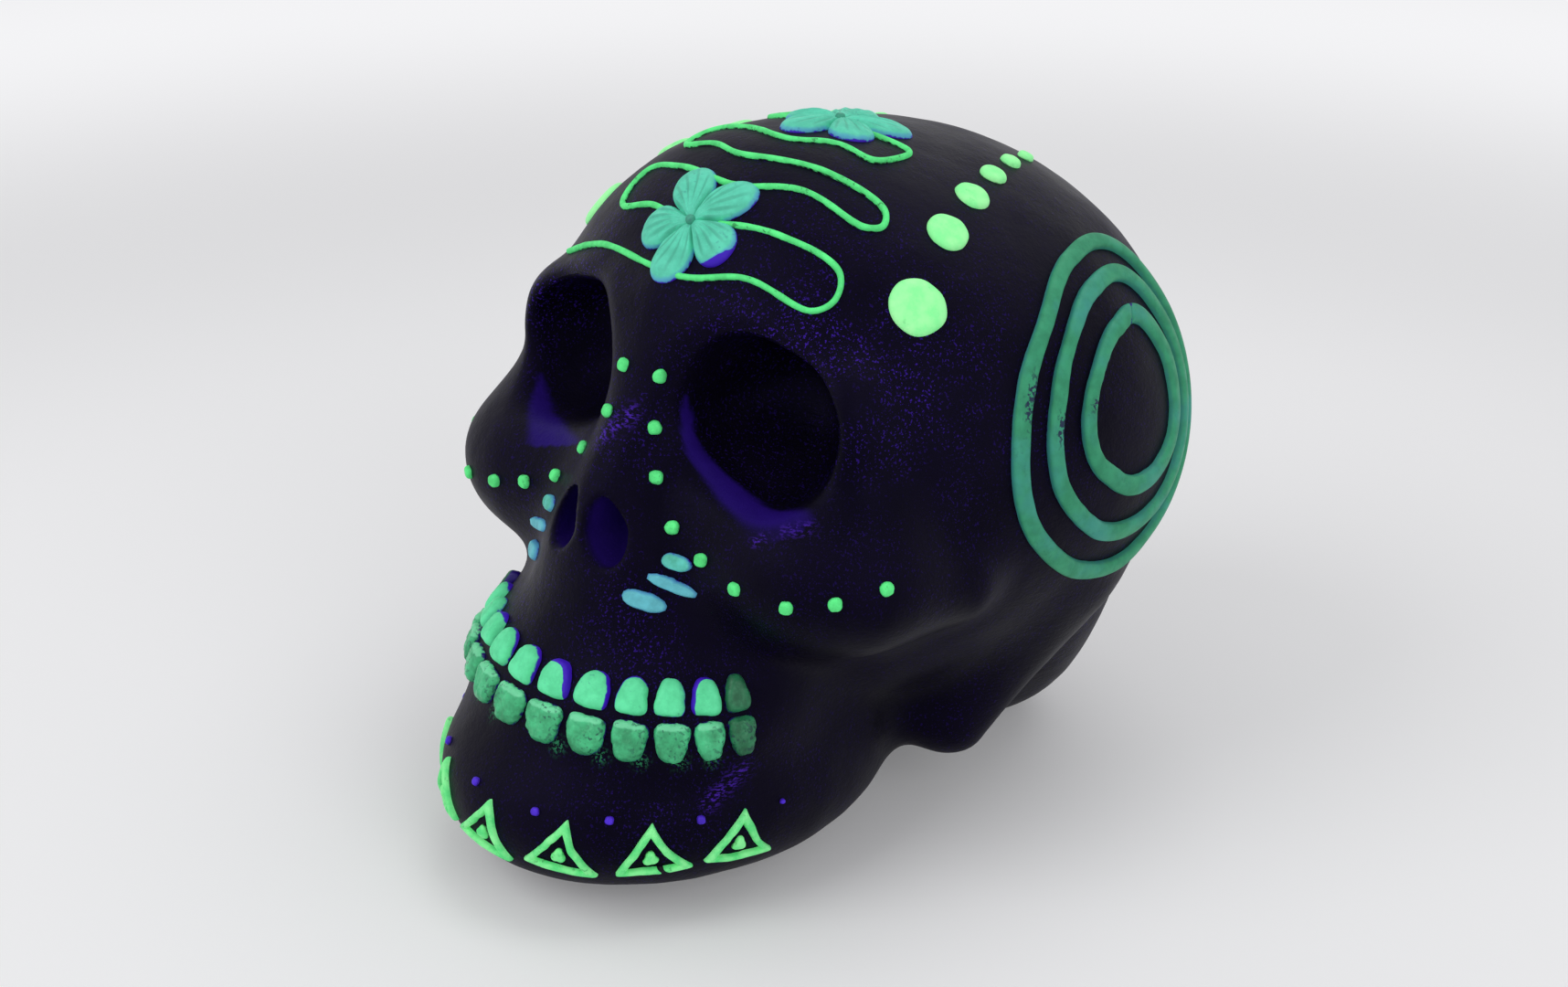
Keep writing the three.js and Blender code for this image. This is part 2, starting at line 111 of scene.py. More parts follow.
class SkullForm(bpy.types.PropertyGroup):
    """Masses that are softly joined into the moulded skin, and the sockets cut into it."""

    cranium_centre: lengths("Cranium centre", "Middle of the brain case", (0, 0.0119, 0.0702))
    cranium_half: lengths("Cranium half sizes", "Half width, length and height", (0.0608, 0.0525, 0.0508))
    forehead_centre: lengths("Forehead centre", "Middle of the forehead", (0, -0.014, 0.0707))
    forehead_half: lengths("Forehead half sizes", "Half width, length and height", (0.0498, 0.0365, 0.0526))
    nape_centre: lengths("Nape centre", "Middle of the nape", (0, 0.0294, 0.0293))
    nape_half: lengths("Nape half sizes", "Half width, length and height", (0.0373, 0.025, 0.0328))
    cheekbone_centre: lengths("Cheekbone centre", "Middle of the cheekbone", (0.0304, -0.0366, 0.0609))
    cheekbone_half: lengths("Cheekbone half sizes", "Half width, length and height", (0.0236, 0.0196, 0.0162))
    upper_jaw_centre: lengths("Upper jaw centre", "Middle of the upper jaw", (0, -0.0406, 0.052))
    upper_jaw_half: lengths("Upper jaw half sizes", "Half width, length and height", (0.0229, 0.0256, 0.0274))
    tooth_bulge_centre: lengths("Tooth bulge centre", "Middle of the bulge that carries the teeth",
                                (0, -0.0492, 0.0329))
    tooth_bulge_half: lengths("Tooth bulge half sizes", "Half width, length and height",
                              (0.0347, 0.0274, 0.0172))
    lower_jaw_centre: lengths("Lower jaw centre", "Middle of the lower jaw", (0, -0.037, 0.0171))
    lower_jaw_half: lengths("Lower jaw half sizes", "Half width, length and height", (0.0315, 0.042, 0.0241))
    jaw_rim_centre: lengths("Jaw rim centre", "Middle of the flared jaw edge", (0, -0.045, 0.016))
    jaw_rim_half: lengths("Jaw rim half sizes", "Half width and length of the oval edge", (0.0275, 0.034))
    jaw_rim_radius: length("Jaw rim radius", "Thickness of the flared jaw edge", 0.0088)
    brow_inner: lengths("Brow inner end", "Where the brow meets the midline", (0, -0.0395, 0.0985))
    brow_outer: lengths("Brow outer end", "Where the brow ends above the temple", (0.0352, -0.034, 0.089))
    brow_radius: length("Brow radius", "Thickness of the brow", 0.0058)
    brow_side_foot: lengths("Brow side foot", "Where the side of the brow meets the cheekbone",
                            (0.0417, -0.0347, 0.0704))
    brow_side_radius: length("Brow side radius", "Thickness of the side of the brow", 0.0039)
    bridge_top: lengths("Nose bridge top", "Upper end of the nose bridge", (0, -0.043, 0.089))
    bridge_tip: lengths("Nose bridge tip", "Lower end of the nose bridge", (0, -0.0565, 0.069))
    bridge_radius: length("Nose bridge radius", "Thickness of the nose bridge", 0.0046)
    arch_front: lengths("Cheek arch front", "Front end of the cheek arch", (0.046, -0.038, 0.059))
    arch_back: lengths("Cheek arch back", "Back end of the cheek arch", (0.051, -0.022, 0.0575))
    arch_radius: length("Cheek arch radius", "Thickness of the cheek arch", 0.005)
    branch_foot: lengths("Jaw branch foot", "Lower end of the rising jaw branch", (0.0345, -0.0036, 0.0186))
    branch_top: lengths("Jaw branch top", "Upper end of the rising jaw branch", (0.044, 0.013, 0.045))
    branch_radius: length("Jaw branch radius", "Thickness of the rising jaw branch", 0.007)
    soft_join: length("Soft join", "Fillet between the masses of the face", 0.0087)
    jaw_join: length("Jaw join", "Fillet between the masses of the jaw", 0.012)
    nape_join: length("Nape join", "Fillet between the nape and the brain case", 0.018)
    joint_gap: length("Joint gap", "Width of the filled joint between the two halves", 0.0003)
    aim_heart: lengths("Aim heart", "Point inside the skull that ornament is aimed from", (0, -0.006, 0.048))
    cast_heart: lengths("Cast heart", "Point inside the skull that the skin is cast from", (0, -0.008, 0.038))
    orbit_place: lengths("Orbit place", "Place of the eye socket across and up the face", (0.0242, 0.0862))
    orbit_half: lengths("Orbit half sizes", "Half width, depth and half height", (0.0146, 0.022, 0.012))
    orbit_roll: angle("Orbit roll", "Droop of the eye socket towards the temple", 17)
    orbit_yaw: angle("Orbit yaw", "Turn of the eye socket towards the temple", 12)
    orbit_fillet: lengths("Orbit fillets", "Roundness of the socket's rim at the nose and at the temple",
                          (0.0055, 0.003))
    nostril_place: lengths("Nostril place", "Place of the nostril across and up the face", (0.0048, 0.0658))
    nostril_half: lengths("Nostril half sizes", "Half width, depth and half height", (0.0034, 0.009, 0.0058))
    nostril_roll: angle("Nostril roll", "Lean of the nostril towards the bridge", -18)
    nostril_fillet: lengths("Nostril fillets", "Roundness of the nostril's rim inwards and outwards",
                            (0.0009, 0.0014))
    skin_inset: length("Skin inset", "How far the worn skin lies inside its mould's surface", 0.0003)
    skin_cell: length("Skin cell", "Size of the skin's mesh cells", 0.00096)


class SkullRelief(bpy.types.PropertyGroup):
    """Sizes of the raised ornament."""

    relief_height: length("Relief height", "Height of the rings above the skin", 0.0011)
    upper_tooth_widths: lengths("Upper tooth widths", "Widths from the midline outwards",
                                (0.008, 0.0078, 0.0067, 0.0064, 0.0062, 0.0052))
    lower_tooth_widths: lengths("Lower tooth widths", "Widths from the midline outwards",
                                (0.0082, 0.0079, 0.0068, 0.0064, 0.0052, 0.0048))
    upper_tooth_height: length("Upper tooth height", "Height of an upper tooth", 0.0069)
    lower_tooth_height: length("Lower tooth height", "Height of a lower tooth", 0.0068)
    tooth_thickness: length("Tooth thickness", "How far a tooth stands off its bed", 0.002)
    tooth_gap: length("Tooth gap", "Gap between neighbouring teeth", 0.0004)
    bite_rise: length("Bite rise", "Height of the bite line above the middle of the bulge", 0.0051)
    bite_gap: length("Bite gap", "Gap between the rows of teeth", 0.0012)
    ring_side: angle("Ring side angle", "Swing of the rings off the midline", 54)
    ring_rise: angle("Ring rise angle", "Climb of the rings over the crown", 122.5)
    ring_radius: length("Outer ring radius", "Radius of the outer ring", 0.035)
    ring_width: length("Ring width", "Width of a ring", 0.0046)
    ring_space: length("Ring space", "Bare skin between two rings", 0.0042)
    ring_narrow: FloatProperty(name="Ring narrowing", description="Width of a ring over its height",
                               default=0.87, subtype='FACTOR')
    ring_lean: angle("Ring lean", "Lean of the rings' long axis", 12)
    ring_slump: FloatVectorProperty(
        name="Ring slump", description="How far the rings are drawn in at the upper front, sag below it and "
        "reach up at the top, over their radius", default=(0.142, 0.06, 0.08), size=3)
    petal_length: length("Petal length", "Reach of a petal from the flower's heart", 0.0126)
    petal_notch: FloatProperty(name="Petal notch", description="Reach of the notches over that of the petals",
                               default=0.42, subtype='FACTOR')
    petal_thickness: length("Petal thickness", "Height of a petal", 0.0018)
    flower_button: length("Flower button radius", "Radius of the flower's heart", 0.0014)
    forehead_flower_rise: angle("Forehead flower rise", "Climb of the lower flower", 66.1)
    crown_flower_rise: angle("Crown flower rise", "Climb of the upper flower", 95.4)
    crown_flower_turn: angle("Crown flower turn", "Turn of the upper flower", -12)
    line_width: length("Line width", "Width of the squeezed scroll line", 0.00115)
    disc_diameters: lengths("Disc diameters", "Diameters from the temple backwards",
                            (0.0108, 0.0082, 0.007, 0.0054, 0.0042, 0.0034))
    disc_gap: length("Disc gap", "Bare skin between two discs", 0.005)
    disc_start: lengths("Disc start", "Place of the first disc across and along the skull", (0.0393, -0.021))
    disc_heading: angle("Disc heading", "Direction of the row of discs", 68)
    triangle_base: length("Triangle base", "Base of a jaw triangle", 0.0138)
    triangle_rise: length("Triangle rise", "Height of a jaw triangle", 0.0094)
    triangle_line: length("Triangle line", "Width of a triangle's line", 0.0013)
    triangle_gap: length("Triangle gap", "Gap between two triangles", 0.0022)
    triangle_drop: length("Triangle drop", "Depth of the triangles below the jaw rim", 0.0006)
    bead_diameter: length("Bead diameter", "Diameter of a bead under the eyes", 0.0025)
    dash_lengths: lengths("Dash lengths", "Lengths of the cheek dashes, downwards", (0.0054, 0.0096, 0.008))
    dash_widths: lengths("Dash widths", "Widths of the cheek dashes, downwards", (0.0029, 0.0023, 0.0033))
    dab_size: length("Dab size", "Size of the dab in a jaw triangle", 0.0026)
    dot_diameter: length("Dot diameter", "Diameter of a dot between the triangles", 0.0016)


class SkullColours(bpy.types.PropertyGroup):
    """Colours of the casting and of its paints."""

    casting: colour("Casting", "Near black of the moulded skin", paint(9, 6, 19))
    # Painted glint: violet flecks in the grain where the lamp catches the skin.
    casting_painted_glint: colour("Casting glint", "Violet glint in the skin's grain", paint(66, 34, 168))
    scuff: colour("Scuff", "Violet of the rubbed places", paint(84, 44, 190))
    # In the eye sockets this violet is painted light, a crescent where the lamp lights the lower wall; in the
    # nostrils it is violet paint.
    socket: colour("Socket", "Violet inside the eye sockets and the nostrils", paint(34, 14, 104))
    rim: colour("Bare rim", "Violet of relief that the brush has missed", paint(62, 22, 190))
    tooth_upper: colour("Upper teeth", "Mint paint of the upper teeth", paint(104, 238, 174))
    tooth_lower: colour("Lower teeth", "Green paint of the lower teeth", paint(76, 200, 138))
    ring: colour("Rings", "Sea green paint of the rings", paint(54, 156, 114))
    flower: colour("Flowers", "Blue-green paint of the flowers", paint(96, 218, 186))
    flower_edge: colour("Flower edge", "Bluer paint at the petals' edges", paint(84, 158, 212))
    line: colour("Lines", "Bright green of the squeezed lines", paint(94, 246, 140))
    disc: colour("Discs", "Pale green of the discs", paint(166, 255, 172))
    dash: colour("Dashes", "Sky blue of the cheek dashes", paint(104, 198, 212))
    dot: colour("Dots", "Violet of the dots between the triangles", paint(82, 40, 226))
    floor: colour("Floor", "Pale studio floor", paint(238, 238, 240))


class Skin:
    """The moulded outer skin, read once from the form's sizes."""

    def __init__(self, form):
        self.form = form
        seam = form.cranium_centre[1] + form.joint_gap
        self.shift = np.array((0.0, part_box("back_shell")[0][1] - seam, 0.0))
        self.heart = np.array(form.aim_heart) + self.shift
        masses = ("cranium", "forehead", "nape", "upper_jaw", "cheekbone", "tooth_bulge", "lower_jaw")
        self.ball = {
            name: (np.array(getattr(form, name + "_centre")), np.array(getattr(form, name + "_half")))
            for name in masses
        }
        self.bar = {
            "brow": (np.array(form.brow_inner), np.array(form.brow_outer), form.brow_radius),
            "brow_side": (np.array(form.brow_outer), np.array(form.brow_side_foot), form.brow_side_radius),
            "bridge": (np.array(form.bridge_top), np.array(form.bridge_tip), form.bridge_radius),
            "arch": (np.array(form.arch_front), np.array(form.arch_back), form.arch_radius),
            "branch": (np.array(form.branch_foot), np.array(form.branch_top), form.branch_radius),
        }
        self.surface = self.depth
        self.sockets = []
        for _, sign in SIDES:
            self.sockets.append(Socket(self, form.orbit_place, form.orbit_half, sign, form.orbit_roll,
                                       form.orbit_yaw, ORBIT_CORNER, 0, form.orbit_fillet))
            self.sockets.append(Socket(self, form.nostril_place, form.nostril_half, sign, form.nostril_roll,
                                       0, NOSTRIL_CORNER, NOSTRIL_TAPER, form.nostril_fillet))

    def to_ball(self, points, name):
        centre, half = self.ball[name]
        share = (points - centre) / half
        reach = np.linalg.norm(share, axis=1)
        slope = np.linalg.norm(share / half, axis=1)
        return reach * (reach - 1) / np.maximum(slope, 1e-9)

    def to_bar(self, points, name):
        start, end, radius = self.bar[name]
        run = end - start
        along = np.clip((points - start) @ run / (run @ run), 0, 1)
        return np.linalg.norm(points - start - along[:, None] * run, axis=1) - radius

    def to_rim(self, points):
        centre = np.array(self.form.jaw_rim_centre)
        half = np.array(self.form.jaw_rim_half)
        share = (points[:, :2] - centre[:2]) / half
        reach = np.maximum(np.linalg.norm(share, axis=1), 1e-6)
        slope = np.linalg.norm(share / half, axis=1) / reach
        rise = (points[:, 2] - centre[2]) / RIM_STRETCH
        return np.hypot((reach - 1) / np.maximum(slope, 1e-6), rise) - self.form.jaw_rim_radius

    def depth(self, points):
        """Distance to the skin: below zero inside, above zero outside."""
        form = self.form
        own = points - self.shift
        own[:, 0] = np.abs(own[:, 0])
        d = soft_join(self.to_ball(own, "cranium"), self.to_ball(own, "forehead"), 2 * form.soft_join)
        d = soft_join(d, self.to_ball(own, "nape"), form.nape_join)
        d = soft_join(d, self.to_ball(own, "upper_jaw"), form.soft_join)
        d = soft_join(d, self.to_bar(own, "brow"), form.soft_join)
        d = soft_join(d, self.to_bar(own, "brow_side"), form.soft_join)
        d = soft_join(d, self.to_bar(own, "bridge"), form.soft_join)
        d = soft_join(d, self.to_ball(own, "cheekbone"), form.soft_join)
        d = soft_join(d, self.to_bar(own, "arch"), form.soft_join)
        d = soft_join(d, self.to_ball(own, "tooth_bulge"), form.jaw_join)
        d = soft_join(d, self.to_ball(own, "lower_jaw"), form.jaw_join)
        d = soft_join(d, self.to_rim(own), form.soft_join)
        return soft_join(d, self.to_bar(own, "branch"), form.jaw_join)

    def carved(self, points):
        """Distance to the skin with the eye sockets and nostrils sunk into it, their rims rounded."""
        d = self.depth(points)
        for socket in self.sockets:
            d = -soft_join(-d, socket.depth(points), socket.fillet(points))
        return d

    def walk_out(self, origins, directions):
        """Points where the skin is met, going out from inside the skull."""
        unit = directions / np.linalg.norm(directions, axis=1)[:, None]
        reach = np.full(len(unit), FIRST_REACH)
        for _ in range(80):
            d = self.surface(origins + unit * reach[:, None])
            reach -= 0.9 * d
            if np.abs(d).max() < 1e-7:
                break
        return origins + unit * reach[:, None]

    def from_heart(self, points):
        return self.walk_out(self.heart, points - self.heart)

    def normals(self, points):
        small = 0.00005
        steps = small * np.eye(3)
        slopes = [self.surface(points + step) - self.surface(points - step) for step in steps]
        slope = np.stack(slopes, axis=1)
        return slope / np.linalg.norm(slope, axis=1)[:, None]

    def place(self, towards, upward):
        """A place on the skin: its point, and the directions across, along and off the skin."""
        point = self.from_heart(np.atleast_2d(towards))
        normal = self.normals(point)[0]
        across = np.cross(upward, normal)
        across /= np.linalg.norm(across)
        return point[0], across, np.cross(normal, across), normal

    def aim(self, side, rise):
        """A point in the direction that swings off the midline and climbs from the face over the crown."""
        swing = np.cos(side)
        direction = np.stack((np.sin(side), -swing * np.cos(rise), swing * np.sin(rise)), axis=-1)
        return self.heart + AIM_REACH * direction

    def lay(self, place, flat):
        """Lays flat relief (across, along, height) onto the skin at a place."""
        point, across, along, _ = place
        feet = self.from_heart(point + flat[:, :1] * across + flat[:, 1:2] * along)
        laid = feet + self.normals(feet) * flat[:, 2:]
        laid[:, 2] = np.maximum(laid[:, 2], FLOOR_GAP)
        return laid

    def flatten(self, place, points):
        """Where points of the skin lie across and along a place."""
        point, across, along, normal = place
        rays = points - self.heart
        onto = self.heart + rays * (((point - self.heart) @ normal) / (rays @ normal))[:, None] - point
        return np.stack((onto @ across, onto @ along), axis=1)

    def face_at(self, across, up):
        start = np.array([(across, self.heart[1], up)])
        return self.walk_out(start, np.array([(0.0, -1.0, 0.0)]))[0]

    def level_line(self, height, stops):
        """Points on a level line round the jaw, at measured lengths from the midline."""
        heart = np.array((0.0, self.form.tooth_bulge_centre[1], height)) + self.shift
        turn = np.arange(0, 2.6, 0.004)
        line = self.walk_out(heart, np.stack((np.sin(turn), -np.cos(turn), 0 * turn), axis=1))
        walked = np.concatenate(([0], np.cumsum(np.linalg.norm(np.diff(line, axis=0), axis=1))))
        return np.stack([np.interp(stops, walked, line[:, k]) for k in range(3)], axis=1)


class Socket:
    """An eye socket or a nostril: a softly squared hollow sunk into the face."""

    def __init__(self, skin, place, half, sign, roll, yaw, corner, taper, fillets):
        self.half = np.array(half)
        self.sign, self.corner, self.taper, self.fillets = sign, corner, taper, tuple(fillets)
        self.middle = skin.face_at(place[0], place[1]) * (sign, 1, 1)
        cos_roll, sin_roll = math.cos(sign * roll), math.sin(sign * roll)
        cos_yaw, sin_yaw = math.cos(sign * yaw), math.sin(sign * yaw)
        rolled = np.array(((cos_roll, 0, sin_roll), (0, 1, 0), (-sin_roll, 0, cos_roll)))
        self.turn = rolled @ np.array(((cos_yaw, -sin_yaw, 0), (sin_yaw, cos_yaw, 0), (0, 0, 1)))

    def squared(self, x, z):
        turn = np.arctan2(z, x)
        legs = np.abs(np.stack((np.cos(turn), np.sin(turn))))
        return (legs ** self.corner).sum(axis=0) ** (-1 / self.corner)

    def cutter(self, ball):
        """The hollow's surface, shaped from a ball."""
        square = self.squared(ball[:, 0], ball[:, 2])
        narrow = 1 - self.taper * np.maximum(ball[:, 2], 0)
        share = np.stack((ball[:, 0] * square * narrow, ball[:, 1], ball[:, 2] * square), axis=1)
        return (share * self.half) @ self.turn.T + self.middle

    def share(self, points):
        """Points along the hollow's own directions, as shares of its half sizes."""
        return (points - self.middle) @ self.turn / self.half

    def depth(self, points):
        share = self.share(points)
        share[:, 0] /= 1 - self.taper * np.clip(share[:, 2], 0, 1)
        share[:, ::2] /= self.squared(share[:, 0], share[:, 2])[:, None]
        reach = np.linalg.norm(share, axis=1)
        return reach * (reach - 1) / np.maximum(np.linalg.norm(share / self.half, axis=1), 1e-9)

    def fillet(self, points):
        """Roundness of the rim, from the side of the nose to that of the temple."""
        return np.interp(self.sign * self.share(points)[:, 0], (-0.7, 0.7), self.fillets)


def soft_join(a, b, radius):
    """The nearer of two distances, with a fillet where they are alike."""
    near = np.maximum(radius - np.abs(a - b), 0) / radius
    return np.minimum(a, b) - near * near * radius / 4


def hand(turn, seed, amount):
    """The small unevenness of a line drawn by hand round a piece."""
    phases = np.random.default_rng(seed).uniform(0, 2 * math.pi, 7)
    return amount * sum(np.cos(k * turn + phases[k - 2]) / k for k in range(2, 9))


def fade(value, low, high):
    """A smooth step from 0 at low to 1 at high."""
    share = np.clip((value - low) / (high - low), 0, 1)
    return share * share * (3 - 2 * share)


def clear_selection():
    bpy.ops.object.select_all(action='DESELECT')


def new_ball(name, segments, rings):
    clear_selection()
    bpy.ops.mesh.primitive_uv_sphere_add(segments=segments, ring_count=rings, radius=1)
    return named(name)


def new_band(name, segments, section):
    clear_selection()
    bpy.ops.mesh.primitive_torus_add(
        major_segments=segments, minor_segments=section, major_radius=1, minor_radius=0.3)
    return named(name)


def named(name):
    """The piece just added, under its own name."""
    piece = bpy.context.object
    piece.name = name
    piece.data.name = name
    return piece


def points_of(piece):
    flat = np.empty(3 * len(piece.data.vertices))
    piece.data.vertices.foreach_get("co", flat)
    return flat.reshape(-1, 3)


def set_points(piece, points):
    piece.data.vertices.foreach_set("co", np.ascontiguousarray(points).ravel())
    piece.data.update()


def mark(piece, name, values):
    """Keeps one number per point on a piece, for its material to read."""
    layer = piece.data.attributes.new(name, 'FLOAT', 'POINT')
    layer.data.foreach_set("value", np.ascontiguousarray(values, dtype=np.float32))


def use_modifier(piece, kind, **settings):
    """Adds a modifier with its settings and applies it."""
    bpy.context.view_layer.objects.active = piece
    bpy.ops.object.modifier_add(type=kind)
    modifier = piece.modifiers[-1]
    for key, value in settings.items():
        setattr(modifier, key, value)
    bpy.ops.object.modifier_apply(modifier=modifier.name)


def lump_texture(name, size):
    """Soft lumps of a given size, for a hand-worked surface."""
    lumps = bpy.data.textures.new(name, 'CLOUDS')
    lumps.noise_scale = size
    lumps.noise_depth = 2
    return lumps


def edit_all(piece):
    """Opens a piece for editing with all of its mesh selected."""
    clear_selection()
    piece.select_set(True)
    bpy.context.view_layer.objects.active = piece
    bpy.ops.object.mode_set(mode='EDIT')
    bpy.ops.mesh.select_all(action='SELECT')


def close_piece(piece, material, nodes=()):
    """Turns the faces outwards, smooths the shading and ties the piece to the frame."""
    edit_all(piece)
    bpy.ops.mesh.normals_make_consistent(inside=False)
    bpy.ops.object.mode_set(mode='OBJECT')
    bpy.ops.object.shade_smooth()
    piece.data.materials.clear()
    piece.data.materials.append(material)
    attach(piece, "root")
    if nodes:
        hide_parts(*nodes)


def pad(skin, name, place, outline, height, segments=48, rings=32, brush=(0, 0), cover=0.97, crown=None,
        bare=None):
    """A cushion of relief whose outline is drawn round a ball, laid on the skin with its painted edge."""
    piece = new_ball(name, segments, rings)
    ball = points_of(piece)
    turn = np.arctan2(ball[:, 1], ball[:, 0])
    share = np.minimum(np.hypot(ball[:, 0], ball[:, 1]), 1)
    reach = share * outline(turn)
    x, y = reach * np.cos(turn), reach * np.sin(turn)
    if crown is None:
        dome = np.maximum(1 - share ** 5, 0) ** 0.45
    else:
        dome = crown(share, turn, reach)
    top = -LAP + (height + LAP) * dome
    under = -LAP - KEEL * np.sqrt(np.maximum(1 - share ** 2, 0))
    z = np.where(ball[:, 2] >= 0, top, under)
    set_points(piece, skin.lay(place, np.stack((x, y, z), axis=1)))
    bx, by = x - brush[0], y - brush[1]
    edge = cover * outline(np.arctan2(by, bx)) - np.hypot(bx, by)
    if bare is not None:
        edge = edge - bare(turn, reach)
    mark(piece, "edge", edge)
    return piece


def band(skin, name, place, outline, width, height, bare, segments, section=24, flat=0.45, wear=None):
    """A band of relief that follows an outline, laid on the skin with its painted edge and its breaks."""
    piece = new_band(name, segments, section)
    ring = points_of(piece)
    turn = np.arctan2(ring[:, 1], ring[:, 0])
    around = np.arctan2(ring[:, 2], np.hypot(ring[:, 0], ring[:, 1]) - 1)
    side = np.sign(np.cos(around)) * np.abs(np.cos(around)) ** 0.8
    breadth = width(turn)
    reach = outline(turn) - breadth / 2 + side * breadth / 2
    lift = np.abs(np.sin(around))
    broken = bare(turn, side)
    tall = height * (1 - 0.8 * broken)
    z = np.where(ring[:, 2] >= 0, -LAP + (tall + LAP) * lift ** flat, -LAP - KEEL * lift)
    points = np.stack((reach * np.cos(turn), reach * np.sin(turn), z), axis=1)
    set_points(piece, skin.lay(place, points))
    mark(piece, "edge", breadth / 2 * (0.98 - np.abs(side)) + 0.0002 * (ring[:, 2] > 0) - 0.003 * broken)
    if wear is not None:
        mark(piece, "wear", wear(turn, side))
    return piece


class Finish:
    """A material's nodes, put together one at a time."""

    def __init__(self, name):
        self.material = bpy.data.materials.new(name)
        self.material.use_nodes = True
        self.tree = self.material.node_tree
        self.shader = self.tree.nodes["Principled BSDF"]
        self.place = self.node('ShaderNodeTexCoord').outputs['Object']

    def node(self, kind, **settings):
        node = self.tree.nodes.new(kind)
        for key, value in settings.items():
            setattr(node, key, value)
        return node

    def feed(self, socket, value):
        if isinstance(value, bpy.types.NodeSocket):
            self.tree.links.new(value, socket)
        elif socket.type == 'RGBA':
            socket.default_value = (*value[:3], 1)
        else:
            socket.default_value = value

    def set(self, **sockets):
        """Feeds the shader's sockets, with underscores for the spaces in their names."""
        for key, value in sockets.items():
            self.feed(self.shader.inputs[key.replace("_", " ")], value)

    def stretched(self, scale, turn=(0, 0, 0)):
        """Object coordinates drawn out and turned, for brush strokes and scratches."""
        node = self.node('ShaderNodeMapping')
        self.feed(node.inputs['Vector'], self.place)
        node.inputs['Scale'].default_value = scale
        node.inputs['Rotation'].default_value = turn
        return node.outputs['Vector']

    def cloud(self, scale, detail=3, rough=0.55, vector=None):
        """Soft noise whose scale counts its lumps per metre."""
        node = self.node('ShaderNodeTexNoise')
        self.feed(node.inputs['Vector'], self.place if vector is None else vector)
        node.inputs['Scale'].default_value = scale
        node.inputs['Detail'].default_value = detail
        node.inputs['Roughness'].default_value = rough
        return node.outputs['Fac']

    def attribute(self, name):
        return self.node('ShaderNodeAttribute', attribute_name=name).outputs['Fac']

    def sum(self, operation, a, b=0.0):
        node = self.node('ShaderNodeMath', operation=operation)
        self.feed(node.inputs[0], a)
        self.feed(node.inputs[1], b)
        return node.outputs[0]

    def step(self, value, low, high, start=0.0, end=1.0):
        """A smooth step from start at low to end at high."""
        node = self.node('ShaderNodeMapRange', interpolation_type='SMOOTHSTEP')
        for key, given in zip(('Value', 'From Min', 'From Max', 'To Min', 'To Max'),
                              (value, low, high, start, end)):
            self.feed(node.inputs[key], given)
        return node.outputs[0]

    def mix(self, share, a, b):
        node = self.node('ShaderNodeMix', data_type='RGBA')
        self.feed(node.inputs[0], share)
        self.feed(node.inputs[6], a)
        self.feed(node.inputs[7], b)
        return node.outputs[2]

    def bump(self, height, strength, distance, below=None):
        node = self.node('ShaderNodeBump')
        node.inputs['Strength'].default_value = strength
        node.inputs['Distance'].default_value = distance
        self.feed(node.inputs['Height'], height)
        if below is not None:
            self.feed(node.inputs['Normal'], below)
        return node.outputs['Normal']


def shade(tint, amount):
    return tuple(amount * value for value in tint)


def between(a, b, share):
    return tuple((1 - share) * u + share * v for u, v in zip(a, b))


def casting_finish(colours):
    """Near-black moulded skin with a painted violet glint in its grain, violet paint in the nostrils, a
    painted pool of light low in the eye sockets, scuffs and paint crumbs.
    """
    finish = Finish("moulded_black")
    drift = finish.cloud(48, 3)
    grain = finish.cloud(2100, 3, 0.6)
    # Painted glint: grain flecks turn violet in patches where the lamp catches the skin.
    patch = finish.sum('MULTIPLY', finish.step(finish.cloud(85, 3), 0.3, 0.6), finish.attribute("painted_glint"))
    tint = finish.mix(finish.step(drift, 0.35, 0.65), shade(colours.casting, 0.45), colours.casting)
    fleck = finish.sum('MULTIPLY', finish.step(grain, 0.57, 0.66), finish.sum('MULTIPLY', patch, 0.85))
    tint = finish.mix(fleck, tint, colours.casting_painted_glint)
    scratch = finish.cloud(1, 3, 0.6, finish.stretched((900, 900, 2600), (0.5, 0.2, 0.6)))
    scuff = finish.sum('MULTIPLY', finish.attribute("scuff"), finish.step(scratch, 0.5, 0.6))
    tint = finish.mix(finish.sum('MULTIPLY', scuff, 0.8), tint, colours.scuff)
    # Violet in the sockets: a painted pool of light low in each eye socket, and violet paint in the nostrils.
    socket_violet_light_and_paint = finish.mix(finish.cloud(260, 4), shade(colours.socket, 0.75), shade(colours.socket, 1.2))
    tint = finish.mix(finish.attribute("violet"), tint, socket_violet_light_and_paint)
    crumb = finish.sum('MULTIPLY', finish.attribute("crumb"), finish.step(finish.cloud(1900, 2), 0.5, 0.58))
    tint = finish.mix(finish.sum('MULTIPLY', crumb, 0.75), tint, shade(colours.tooth_lower, 0.8))
    pebble = finish.cloud(720, 3, 0.6)
    strokes = finish.cloud(1, 4, 0.6, finish.stretched((180, 420, 1500), (0.3, 0.2, 0.1)))
    normal = finish.bump(pebble, 0.3, 0.0003)
    normal = finish.bump(strokes, 0.18, 0.0003, normal)
    normal = finish.bump(grain, 0.3, 0.00015, normal)
    normal = finish.bump(crumb, 0.6, 0.0003, normal)
    finish.set(Base_Color=tint, Roughness=finish.step(drift, 0.3, 0.7, 0.42, 0.54), Normal=normal,
               Specular_IOR_Level=0.12, Specular_Tint=between(WHITE, colours.rim, 0.75))
    return finish.material


